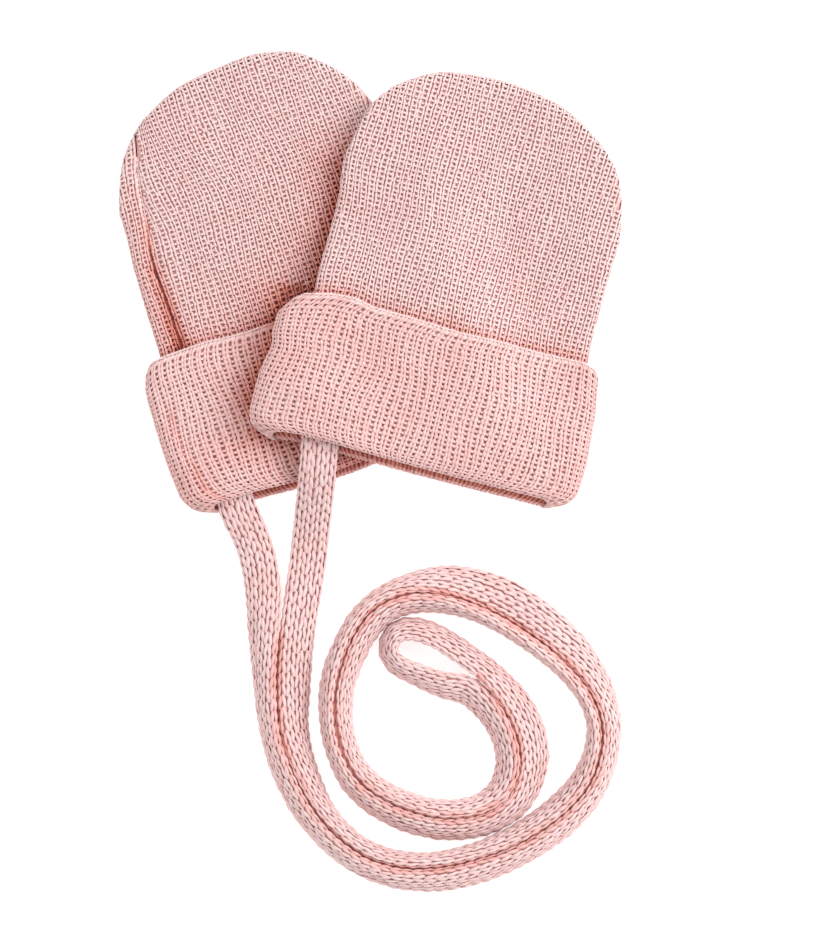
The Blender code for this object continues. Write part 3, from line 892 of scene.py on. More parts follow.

# --- the left mitten's side seam ---
SEAM_WIDTH = 2.0        # of its furrow
SEAM_DEPTH = 0.8
SLIT_WIDTH = 0.6        # of the cleft at its bottom
SLIT_DEPTH = 0.3
SEAM_END = (80.0, 90.0)         # where it dies out
SEAM_GRAINS_TO = 85.0   # height up to which its linking shows
SEAM_GRAIN_SIDES = (-0.35, 0.45)
SEAM_INNER = 0.6        # share of the furrow that the wall's inner face doesn't take
CUFF_SEAM = 0.11        # where the seam runs on over the cuff
CUFF_SECOND = 2.2       # distance to the fainter furrow beside it there
CUFF_SECOND_SIZE = 0.4
CUFF_SECOND_END = (14.0, 26.0)
CUFF_SEAM_START = (0.5, 6.0)    # heights over which both furrows come in, and fade
CUFF_SEAM_END = (24.0, 36.0)
CUFF_SEAM_LESS = 0.8
CUFF_FURROW = 0.8       # of the furrows there against those on the body
SEAM_SHIFT = listed(Shift, (38.0, -0.4), (50.0, -0.6), (61.0, -1.2), (70.0, -0.8), (76.0, 0.0),
                    (82.0, 1.2), (88.0, 3.2), (96.0, 5.0))
CUFF_SEAM_SHIFT = listed(Shift, (0.0, 0.6), (5.0, 0.4), (15.0, -0.6), (24.0, -2.2), (35.0, -3.8))


class Wave(NamedTuple):
    """An unevenness of the wales: its size across, its length up, and its change across."""

    size: float
    length: float
    change: float


class SeamShade(NamedTuple):
    """Painted shade along a side seam: in its furrow, in its cleft, and on all to its left."""

    furrow: float
    cleft: float
    left: float


BODY_WAVES = listed(Wave, (0.0035, 5.2, 23.0), (0.003, 8.7, -31.0))
CUFF_WAVES = listed(Wave, (0.004, 4.3, 19.0), (0.004, 7.1, -27.0))
UNDER_RIM = listed(PaintedShade, (0.3, 1.0), (0.14, 5.0))              # painted shade on a body, just above its cuff's rim
BESIDE_MITTEN = listed(PaintedShade, (0.85, 2.5), (0.48, 7.0))         # painted shadow on the left mitten, beside the mitten that lies on it
BODY_SEAM_SHADE = SeamShade(0.08, 0.8, 0.16)
CUFF_SEAM_SHADE = SeamShade(0.08, 0.22, 0.06)
SHADE_WIDTHS = (2.2, 0.6)       # of the furrow's painted shade and of the cleft's
LOW_FURROW = 0.75               # what the furrow's painted shade has more, low on the body
LOW_FURROW_END = (42.0, 72.0)   # heights over which that dies out
SEAM_SHADE_END = (74.0, 86.0)   # the same for all of the seam's painted shade on the body
CUFF_SHADE_END = (22.0, 33.0)   # and on the cuff
STRIP_TINT = 0.1                # painted shade on the cuff to the seam's left
STRIP_END = (-2.5, -1.5)
BESIDE_END = (60.0, 80.0)       # heights up the upper mitten over which its shade dies out
BELOW_SHARE = 0.8               # of a distance below its mouth, against one to its left
CUFF_SHARE = 1.05               # of its shade on the lower cuff
RIM_CLEAR = 0.5                 # height over the rim at which the rim's own shade starts to fade
# painted shade laid evenly over whole grains through their depth in the knit: body, cuffs, edge
# ribs, inner leg
BODY_TINT = 0.03
CUFF_TINT = 0.08
RAISED_TINT = 0.15              # darker and redder through the painted shade ramp, on the cuff of the mitten that lies on the other
EDGE_TINT = 0.06
INNER_TINT = 0.1
MOUTH_SHADE = 1.3               # inside the mouths, above the strip that shows
MOUTH_FADE = (-4.8, -1.8)       # lengths round the fold over which that comes on
SEAM_GRAIN_SHADE = 3.6          # of the linking low in the side seam
SEAM_GRAIN_LESS = 3.5           # by how much less it is above
SEAM_GRAIN_FADE = (52.0, 74.0)


class Sheet(NamedTuple):
    """A flat cut: its width, its length and its area."""

    width: float
    length: float
    area: float


BODY_SHEET = Sheet(72.0, 97.0, 6200.0)
CUFF_SHEET = Sheet(174.0, 48.0, 8200.0)


@dataclass
class Mitten:
    """One mitten: a front, a back and a turned-up cuff, each a wall with its knit."""

    pattern: Pattern
    columns: int = 3                # of the walls, to each rib

    @property
    def seam(self) -> float:
        """Where the side seam is on the upper side; 0 where it runs along the left edge."""
        return self.pattern.strip_ribs / RIBS

    def furrow(self, p: Array, seam: float, scale: float, shift: Array | float = 0.0) -> Array:
        """Depth of the furrow along a side seam.

        Args:
            p: places across the upper side.
            seam: the seam's place.
            scale: millimetres of cloth to the whole of p.
            shift: how far the seam is bent to the right there, in millimetres.

        Returns:
            The depth at each place.
        """
        away = (p - seam) * scale - shift
        wide, narrow = np.exp(-(away / SEAM_WIDTH) ** 2), np.exp(-(away / SLIT_WIDTH) ** 2)
        return SEAM_DEPTH * wide + SLIT_DEPTH * narrow

    def wander(self, waves: tuple[Wave, ...], p: Array, s: Array) -> Array:
        """How far wales stray across, which they don't at the mitten's edges.

        Args:
            waves: the unevenness.
            p: places across, as the wales were counted.
            s: length up the wale.

        Returns:
            The shift across at each place.
        """
        one, two = waves
        stray = one.size * np.sin(s / one.length + one.change * p + self.pattern.lean)
        stray = stray + two.size * np.sin(s / two.length + two.change * p)
        return stray * np.clip(WANDER_CLEAR * np.minimum(np.abs(p), 1 - np.abs(p)), 0, 1)

    def drift(self, p: Array, s: Array) -> Array:
        """Where the wales really run: uneven, and gathered to the side seam near the crown.

        Args:
            p: across, as the wales were counted.
            s: length up the wale.

        Returns:
            The places across.
        """
        stray = self.wander(BODY_WAVES, p, s)
        if not self.seam:
            return p + stray
        past = p - self.seam
        lies = p + stray * np.clip(np.abs(past) * SEAM_CLEAR, 0, 1)
        gather = GATHER * ease(*GATHER_RISE, s) * np.exp(-np.maximum(past, 0.0) / GATHER_REACH)
        held = np.minimum(p, self.seam + SEAM_KEEP)
        return np.where(past > 0, np.maximum(lies - gather, held), lies)

    def wale_point(self, p: Array, s: Array, out: Array) -> Array:
        """Points of the body along wales as they drift."""
        return self.body_point(self.drift(p, s), s, out)

    def seam_shade(self, p: Array, v: Array, body: bool) -> Array:
        """How much painted shade the yarn gets along the side seam.

        Args:
            p: places across.
            v: their heights above the mouth.
            body: whether they are on the body and not on the cuff.

        Returns:
            An addition to the depth in the knit.
        """
        look = BODY_SEAM_SHADE if body else CUFF_SEAM_SHADE
        if body:
            away = (p - self.seam) * BODY_GAUGE.scale
            wide = look.furrow + LOW_FURROW * fade(*LOW_FURROW_END, v)
        else:
            away = (p - CUFF_SEAM) * CUFF_GAUGE.scale - read(CUFF_SEAM_SHIFT, "at", "by", v)
            wide = look.furrow
        furrow, cleft = (np.exp(-(away / width) ** 2) for width in SHADE_WIDTHS)
        amount = wide * furrow + look.cleft * cleft + look.left * (away < 0)
        if body:
            return amount * fade(*SEAM_SHADE_END, v)
        return amount * fade(*CUFF_SHADE_END, v) + STRIP_TINT * fade(*STRIP_END, away)

    def shade(self, points: Array, p: Array, v: Array, body: bool) -> Array:
        """The painted shade and shadow that the yarn gets where other cloth closes it in.

        Args:
            points: where it lies, in metres.
            p: the same places across.
            v: their heights above the mouth.
            body: whether they are on the body and not on the cuff.

        Returns:
            An addition to the depth in the knit.
        """
        above = np.maximum(v - self.pattern.cuff[-1].v - RIM_CLEAR, 0.0)
        amount = painted_shade(UNDER_RIM, above) if body else np.zeros(v.shape)
        if not self.seam:
            return amount * (p > 0)
        # painted shadow of the right mitten, by distance from its left edge and from below its
        # mouth
        table = points[..., :2] / MM + FOOTPRINT_MIDDLE
        u2, v2 = on_mitten(RIGHT, table[..., 0], table[..., 1])
        edge = np.where(v2 > RIGHT.cuff[-1].v, edges(RIGHT.body, v2)[0], edges(RIGHT.cuff, v2)[0])
        away = np.maximum(np.maximum(edge - u2, -v2 * BELOW_SHARE), 0.0)
        near = painted_shade(BESIDE_MITTEN, away) * fade(*BESIDE_END, v2) * (1.0 if body else CUFF_SHARE)
        return (amount + self.seam_shade(p, v, body) + near) * (p > 0)

    def with_seam(self, p: Array, s: Array) -> Array:
        """Places across the body once they follow the side seam as it bends.

        Args:
            p: places across.
            s: length up the wale.

        Returns:
            The places across that they come to.
        """
        if not self.seam:
            return p
        near = np.exp(-((p - self.seam) / SEAM_PULL) ** 2) * np.clip(p * RIBS, 0, 1)
        return p + read(SEAM_SHIFT, "at", "by", s) / BODY_GAUGE.scale * near

    def crown_top(self, p: Array) -> Array:
        """Height of the crown over places across the body."""
        wide = self.pattern.body[-1]
        u = across(wide.left, wide.right, HALF_BODY, 0.0, p)[0]
        return read(self.pattern.crown, "across", "top", (u - wide.left) / (wide.right - wide.left))

    def body_point(self, p: Array, s: Array, out: Array) -> Array:
        """Points of the body.

        Args:
            p: across, from -1 to 1 round the tube.
            s: length up the wale from the mouth, over the crown's rounding.
            out: height above the outer face.

        Returns:
            The points, in metres.
        """
        cut, counted = self.pattern, (np.asarray(p) + 1) % 2 - 1
        p = self.with_seam(counted, s)
        shoulder = self.crown_top(p) - HALF_BODY
        turn = np.clip((s - shoulder) / HALF_BODY, 0.0, np.pi / 2)
        v = np.minimum(s, shoulder) + (HALF_BODY + out) * np.sin(turn)
        seam = np.where(p < 0, -1.0, 1.0)
        if self.seam:
            seam = np.where(p < 0, -1.0, np.clip(p * RIBS, -1.0, 1.0))
            furrow = np.where(p > 0, self.furrow(counted, self.seam, BODY_GAUGE.scale), 0.0)
            furrow = furrow * (1 - SEAM_INNER * np.clip(-out / CLOTH, 0, 1))
            out = out - furrow * fade(*SEAM_END, s)
        u, height, side = across(*edges(cut.body, v), HALF_BODY, -out, p)
        height = height * np.cos(turn) * (1 - SEAM_GAP / (2 * HALF_BODY)) + seam * SEAM_GAP / 2
        height = height + folds(cut.body_creases, u, v) * np.clip(side, 0, 1) * np.cos(turn)
        return sit(cut, u, v, side, height)

    def crown_line(self) -> tuple[Array, Array, Array]:
        """The crown's edge from left to right.

        Returns:
            Places across, places up, and the length along it.
        """
        wide, inset = self.pattern.body[-1], CROWN_INSET * edge_share(HALF_BODY)
        p = np.linspace(inset, 1 - inset, 160)
        v = self.crown_top(p)
        left, right = edges(self.pattern.body, v)
        u = across(wide.left, wide.right, HALF_BODY, 0.0, p)[0]
        u = left + (u - wide.left) / (wide.right - wide.left) * (right - left)
        return u, v, run_length(np.column_stack([u, v]))

    def crown_point(self, q: Array, over: Array, out: Array) -> Array:
        """Points round the crown's edge.

        Args:
            q: the share of the edge's length from its left end.
            over: length over the edge, from the back to the front.
            out: height above the outer face.

        Returns:
            The points, in metres.
        """
        u, v, length = self.crown_line()
        rise, run = np.gradient(v, length), np.gradient(u, length)
        at, turn = q * length[-1], over / HALF_BODY
        reach = (HALF_BODY + out) * np.cos(turn) - HALF_BODY
        place_u = np.interp(at, length, u) - np.interp(at, length, rise) * reach
        place_v = np.interp(at, length, v) + np.interp(at, length, run) * reach
        return sit(self.pattern, place_u, place_v, np.sin(turn), (HALF_BODY + out) * np.sin(turn))

    def cuff_point(self, p: Array, s: Array, out: Array) -> Array:
        """Points of the cuff's outer leg and of the fold at the mouth.

        Args:
            p: across, from -1 to 1 round the tube.
            s: length up the wale; below the fold's radius it turns in under the mouth, and at
                the top it turns over the rim.
            out: height above the outer face.

        Returns:
            The points, in metres.
        """
        p = (np.asarray(p) + 1) % 2 - 1
        turn = np.clip((HEM_RADIUS - s) / HEM_RADIUS, 0.0, np.pi)
        inside = np.maximum(HEM_RADIUS * (1 - np.pi) - s, 0.0)
        fold = HEM_RADIUS + out
        v = np.where(s >= HEM_RADIUS, s, HEM_RADIUS - fold * np.sin(turn) + inside)
        depth = np.where(s >= HEM_RADIUS, -out, HEM_RADIUS - fold * np.cos(turn))
        edge, roll = self.pattern.cuff[-1].v - RIM_RADIUS, RIM_RADIUS + out
        over = np.clip((s - edge) / RIM_RADIUS, 0.0, np.pi)
        v = np.where(s > edge, edge + roll * np.sin(over), v)
        depth = np.where(s > edge, RIM_RADIUS - roll * np.cos(over), depth)
        return self.cuff_at(p, v, depth)

    def cuff_wale_point(self, p: Array, s: Array, out: Array) -> Array:
        """Points of the cuff along wales as they wander."""
        return self.cuff_point(p + self.wander(CUFF_WAVES, p, s), s, out)

    def cuff_at(self, p: Array, v: Array, depth: Array) -> Array:
        """Points of the cuff.

        Args:
            p: across, from -1 to 1 round the tube.
            v: height above the mouth.
            depth: how far inside the outer face.

        Returns:
            The points, in metres.
        """
        cut = self.pattern
        if self.seam:
            shift = read(CUFF_SEAM_SHIFT, "at", "by", v)
            second = CUFF_SECOND_SIZE * fade(*CUFF_SECOND_END, v)
            furrow = (self.furrow(p, CUFF_SEAM, CUFF_GAUGE.scale, shift)
                      + second * self.furrow(p, CUFF_SEAM, CUFF_GAUGE.scale, shift + CUFF_SECOND))
            furrow = CUFF_FURROW * furrow * (p > 0) * ease(*CUFF_SEAM_START, v)
            furrow = furrow * (1 - CUFF_SEAM_LESS * ease(*CUFF_SEAM_END, v))
            depth = depth + furrow * (1 - np.clip(depth / CLOTH, 0, 1))
        u, height, side = across(*edges(cut.cuff, v), HALF_CUFF, depth, p)
        held = ease(1.0, 8.0, v) * fade(cut.cuff[-1].v - 6, cut.cuff[-1].v, v)
        height = height + folds(cut.cuff_creases, u, v) * np.clip(side, 0, 1) * held
        return sit(cut, u, v, side, height)

    def wale_end(self, p: Array) -> Array:
        """Length up each wale of the body to the seam over the crown.

        Args:
            p: the wales' places across.

        Returns:
            The length of each.
        """
        end = np.full(np.shape(p), NEAR_TOP)
        for _ in range(TOP_ROUNDS if self.seam else 1):
            top = self.crown_top(self.with_seam(p, end)) + HALF_BODY * (np.pi / 2 - 1)
            end = (end + top) / 2 if self.seam else top
        return end

    def body_wall(self, face: Face) -> Object:
        """The cloth of the front or the back, with the ribs' ground on it.

        Args:
            face: which of the two.

        Returns:
            The cloth as an object.
        """
        slit = SEAM_GAP / (2 * BODY_GAUGE.scale) * (self.seam > 0)
        start, end = (self.seam + slit, 1.0) if face is Face.FRONT else (-1.0, self.seam - slit)
        p = np.linspace(start, end, int(round((end - start) * RIBS * self.columns)) + 1)
        low = np.linspace(FOLD_TOP + SEAM_GAP, EVEN_TO, LOW_ROWS)[:, None]
        climb = self.wale_end(np.clip(p, -0.9999, 0.9999)) - EVEN_TO
        high = EVEN_TO + np.linspace(0.0, 1.0, HIGH_ROWS + 1)[1:, None] * climb
        s = np.concatenate([low + 0 * climb, high])
        pp = np.broadcast_to(p, s.shape)
        under = (pp < -EDGE_RIBS / RIBS) & (pp > EDGE_RIBS / RIBS - 1)
        ribbed = GROOVE_SUNK - RIB_SWELL * np.abs(np.sin(np.pi * RIBS * pp))
        below = np.where(under, UNDER_SUNK, ribbed)
        outer = self.body_point(pp, s, -below)
        inner = self.body_point(pp, s, np.full(s.shape, -CLOTH))
        uv = np.stack([pp * RIBS, s / BODY_GAUGE.course], -1)
        depth = np.clip(GROUND_DEPTH + self.shade(outer, pp, s, True), 0, 1)
        return panel_wall(f"{self.pattern.name}_{face.value}_cloth", outer, inner, uv, depth)

    def lay_wales(self, knit: Knitting, grain: Grain, wales: list[int],
                  low: float) -> tuple[Array, Array, Array]:
        """Lays both legs of every stitch of some of the body's wales.

        Args:
            knit: the knitting that they are added to.
            grain: a stitch's right leg.
            wales: the wales' numbers.
            low: the height at which they start.

        Returns:
            The right legs' places across and along, and their painted shade.
        """
        gauge, middles = BODY_GAUGE, (np.array(wales) + 0.5) / RIBS
        clear = self.seam + LEGS_FREE * (self.seam > 0)
        for beside, mirrored in ((-LEG_AWAY, True), (LEG_AWAY, False)):
            ends = self.wale_end(middles + beside / gauge.scale) - TOP_SPARE * gauge.course
            runs = [np.arange(low, end, gauge.course) for end in ends]
            over, along = np.repeat(middles, [len(run) for run in runs]), np.concatenate(runs)
            lies = self.drift(over, along)
            kept = (over < self.seam) | (lies > clear)
            over, along, lies = over[kept], along[kept], lies[kept]
            shade_amount = self.shade(self.body_point(lies, along, 0.0), lies, along, True)
            knit.lay(grain.mould(mirrored), over, along, 1 / gauge.scale, shade_amount, BODY_TINT)
        return over, along, shade_amount

    def knit_body(self, face: Face) -> Object:
        """The stitches of the front or the back, joined.

        Args:
            face: which of the two.

        Returns:
            The stitches as an object.
        """
        cut, gauge, seam = self.pattern, BODY_GAUGE, self.seam
        knit = Knitting(self.wale_point, seed=11 + 2 * cut.raised + (face is Face.BACK))
        low = cut.cuff[-1].v - UNDER_CUFF
        wales = range(cut.strip_ribs, RIBS) if face is Face.FRONT else range(-RIBS, cut.strip_ribs)
        shown = [w for w in wales if w >= -EDGE_RIBS or w < EDGE_RIBS - RIBS]
        over, along, shade_amount = self.lay_wales(knit, gauge.leg, shown, low)
        over, along = over - 0.5 / RIBS, along + LOOP_STEP * gauge.course
        kept = (over > seam + SEAM_FREE) | ((over < seam - SEAM_FREE) & (over > -1 + SEAM_FREE))
        knit.lay(gauge.loop.mould(), over[kept], along[kept], 1 / gauge.scale, shade_amount[kept])
        if face is Face.BACK:
            self.lay_wales(knit, gauge.under_leg, [w for w in wales if w not in shown], low)
        elif seam:
            steps = np.arange(low, SEAM_GRAINS_TO, gauge.course)
            shade_amount = SEAM_GRAIN_SHADE - SEAM_GRAIN_LESS * ease(*SEAM_GRAIN_FADE, steps)
            for beside in SEAM_GRAIN_SIDES:
                over = np.full(len(steps), seam + beside / gauge.scale)
                knit.lay(SEAM_GRAIN.mould(), over, steps, 1 / gauge.scale, shade_amount)
        if face is Face.FRONT:
            knit.skin, length = self.crown_point, self.crown_line()[-1][-1]
            along = np.arange(0.5, length, CROWN_STEP)
            knit.lay(CROWN_GRAIN.mould(), along / length, np.zeros(len(along)), 1 / length)
        return knit.join(f"{cut.name}_{face.value}_stitches")

    def cuff_profile(self) -> Array:
        """The section of the cuff's cloth: outer leg, rolled rim, lining, inner leg and fold.

        Returns:
            For each point its height above the mouth, its depth inside the outer face, how far
            ribs stand out there, and how much painted shade the cloth gets.
        """
        top, inner = self.pattern.cuff[-1].v, CLOTH + PLY_GAP
        leg = [(v, GROUND_SUNK) for v in np.linspace(HEM_RADIUS, top - 2.2, 11)]
        roll = [(top - RIM_RADIUS + RIM_CORE * math.sin(a), RIM_RADIUS - RIM_CORE * math.cos(a))
                for a in np.linspace(0.0, np.pi, 7)] + [(top - 1.2, CLOTH)]
        lining = [(v, CLOTH) for v in np.linspace(top - 4.0, FOLD_TOP + SEAM_GAP, 6)]
        lining += [(2.6, CLOTH), (2.3, CLOTH + PLY_GAP / 2), (2.6, inner), (FOLD_TOP, inner),
                   (FOLD_TOP, inner + CLOTH)]
        core = HEM_RADIUS - FOLD_SUNK
        fold = [(HEM_RADIUS - core * math.sin(a), HEM_RADIUS - core * math.cos(a))
                for a in np.linspace(np.pi, 0.0, 9)[:-1]]
        parts = ((leg, CUFF_SWELL, 0.0), (roll[:5], ROLL_SWELL, 0.0),
                 (roll[5:], ROLL_SWELL, LINING_SHADE), (lining + fold[:3], 0.0, LINING_SHADE),
                 (fold[3:], 0.0, FOLD_SHADE))
        return np.array([(*point, swell, extra_shade) for points, swell, extra_shade in parts for point in points])

    def cuff_wall(self) -> Object:
        """The cuff's cloth.

        Returns:
            The cloth as an object.
        """
        profile = self.cuff_profile()
        height, depth, swell, extra_shade = (profile[:, k:k + 1] for k in range(4))
        p = np.arange(-RIBS * self.columns, RIBS * self.columns) / (RIBS * self.columns)
        v, pp = np.broadcast_arrays(height, p)
        rib = np.where(pp > 0, np.abs(np.sin(np.pi * RIBS * pp)), 0.0)
        flatter = FLAT_UNDER * ((pp < 0) & (swell == CUFF_SWELL))
        rings = self.cuff_at(pp, v, depth - rib * swell + flatter)
        length = np.broadcast_to(run_length(profile[:, :2])[:, None], v.shape)
        uv = np.stack([pp * RIBS, length / CUFF_GAUGE.course], -1)
        shade = np.clip(GROUND_DEPTH + self.shade(rings, pp, v, False) + extra_shade, 0, 1)
        return tube_wall(f"{self.pattern.name}_cuff_cloth", rings, uv, shade)

    def knit_cuff(self) -> Object:
        """The stitches of the cuff, from inside the fold up to the rolled rim, joined.

        Returns:
            The stitches as an object.
        """
        cut, gauge = self.pattern, CUFF_GAUGE
        knit = Knitting(self.cuff_wale_point, seed=31 + cut.raised)
        top = cut.cuff[-1].v
        steps = np.arange(FIRST_COURSE, top - TOP_COURSE, gauge.course)

        def lay(grain: Grain, places: Array, courses: Array, mirrored: bool = False,
                shade_tint: float = 0.0) -> None:
            """Lays a grain at each place across in each course.

            Args:
                grain: the grain to lay.
                places: the places across.
                courses: length up the wale to each course.
                mirrored: whether it is a stitch's left leg.
                shade_tint: how much painted shade lies evenly over it.
            """
            over, along = np.repeat(places, len(courses)), np.tile(courses, len(places))
            shade_amount = self.shade(self.cuff_point(over, along, 0.0), over, along, False)
            inside = MOUTH_SHADE * fade(*MOUTH_FADE, along) * (over < 0)
            knit.lay(grain.mould(mirrored), over, along, 1 / gauge.scale, shade_amount + inside, shade_tint)

        front, back = (np.arange(RIBS) + 0.5) / RIBS, (np.arange(-RIBS, 0) + 0.5) / RIBS
        for mirrored in (False, True):
            lay(gauge.leg, front, steps, mirrored, RAISED_TINT if cut.raised else CUFF_TINT)
            lay(gauge.under_leg, back[EDGE_RIBS:-EDGE_RIBS], steps[steps > UNDER_COURSE], mirrored)
            round_edges = np.concatenate([back[:EDGE_RIBS], back[-EDGE_RIBS:]])
            lay(gauge.leg, round_edges, steps, mirrored, EDGE_TINT)
            inner = np.arange(INNER_COURSE, UNDER_COURSE, gauge.course)
            lay(INNER_LEG, back, inner, mirrored, INNER_TINT)
        grooves = np.arange(1, RIBS) / RIBS
        lay(gauge.loop, grooves, steps[:-1] + LOOP_STEP * gauge.course, shade_tint=CUFF_TINT)
        for above, shift in RIM_COURSES:
            places = (np.arange(-2 * RIBS, 2 * RIBS) + shift) / (2 * RIBS)
            lay(RIM_GRAIN, places, np.array([top + above]))
        return knit.join(f"{cut.name}_cuff_stitches")

    def dress(self, stitch: bpy.types.Material, ground: bpy.types.Material) -> None:
        """Builds the three walls and their knit, gives them their yarns, hides the solid that each
        pair dresses and parents them to the root.

        Args:
            stitch: the yarn of the stitches.
            ground: the yarn down between them.
        """
        pairs = [(self.body_wall(face), self.knit_body(face), BODY_SHEET) for face in Face]
        pairs.append((self.cuff_wall(), self.knit_cuff(), CUFF_SHEET))
        for wall, knit, sheet in pairs:
            node = wall.name.removesuffix("_cloth")
            wall.data.materials.append(ground)
            knit.data.materials.append(stitch)
            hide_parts(node)
            for piece in (wall, knit):
                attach(piece, "root")
            logging.info("%s: %d and %d faces", wall.name, len(wall.data.polygons),
                         len(knit.data.polygons))


# --- the cord ---
DOUBLED = listed(Lie, (-21.6, -84.5, 38, 25), (-22.4, -95.8, 58, 27), (-21.6, -108.5, 68, 46),
    (-17.8, -119.0, 63, 60), (-12.5, -128.2, 64, 74), (-5.0, -135.8, 65, 84),
    (3.8, -140.2, 62, 82), (14.6, -141.2, 54, 88), (26.6, -138.7, 52, 84),
    (37.4, -134.4, 60, 73), (46.6, -128.2, 62, 68), (53.5, -120.2, 69, 72),
    (56.4, -109.7, 71, 82), (54.7, -101.0, 62, 88), (49.0, -93.1, 44, 88), (40.2, -85.9, 18, 88),
    (29.8, -79.4, 10, 86), (18.9, -75.3, 40, 73), (8.6, -74.9, 72, 66), (0.5, -79.0, 86, 66),
    (-5.0, -87.4, 81, 67), (-8.2, -98.6, 75, 74), (-7.4, -110.6, 80, 79), (-2.6, -120.2, 70, 77),
    (6.2, -126.0, 62, 76), (17.0, -129.1, 60, 75), (27.4, -128.2, 60, 70),
    (34.6, -122.9, 53, 59), (36.5, -113.8, 40, 57), (33.4, -104.4, 42, 55),
    (27.1, -96.2, 56, 42))
FOLD = listed(Lead, (20.8, -88.0, 0.0, 58), (14.6, -84.4, 0.0, 60), (9.4, -83.3, 0.0, 62),
    (5.8, -84.8, 0.0, 66), (4.4, -88.2, 0.0, 68), (5.8, -91.6, 0.0, 66), (9.6, -93.8, 0.0, 62),
    (18.0, -97.2, 0.0, 48))
STRAND_GAP = 0.2
LEFT_SILL = HALF_CUFF - HAND_ROOM / 2 + SEAM_GAP
RIGHT_SILL = SHELF_TOP + LEFT_SILL
RIM_RISE = 0.2
LEFT_LEAD = listed(Lead, (-34.2, -44.6, LEFT_SILL, 0), (-31.4, -55.0, LEFT_SILL + RIM_RISE, 0),
    (-28.9, -60.4, 1.4, 0), (-26.8, -66.2, 0.0, 4), (-25.6, -73.4, 0.0, 16))
RIGHT_LEAD = listed(Lead, (-11.0, -32.6, RIGHT_SILL, 0), (-11.8, -41.0, RIGHT_SILL, 0),
    (-12.3, -47.0, 11.6 + RIM_RISE, 0), (-13.1, -54.0, 5.9, 0), (-14.0, -61.6, 1.5, 2),
    (-15.0, -69.0, 0.0, 8), (-16.1, -76.6, 0.0, 18))
# red-tinted grains down between the cord's two strands: a painted shade line where the strands
# close each other in
CREVICE_GRAIN = Grain(foot=(0.0, -0.5), head=(0.0, 2.4), half_width=0.7, half_height=0.5,
                      lift=0.0, dip=0.1)
CREVICE_STEP = 1.5      # between those grains, and how far they lie below the strands' tops
CREVICE_LOWEST = 1.2
SHADE_BETWEEN = 0.6           # painted shade between the two strands
SHADE_BETWEEN_REACH = 0.85
TAUT = 0.55             # share of a curve through the route's points in one that smooths them


def half_height(roll: Array) -> Array:
    """Half the height of the cord's section at a roll in degrees."""
    a = np.radians(roll)
    return np.hypot(CORD_WIDTH / 2 * np.sin(a), CORD_THICK / 2 * np.cos(a))


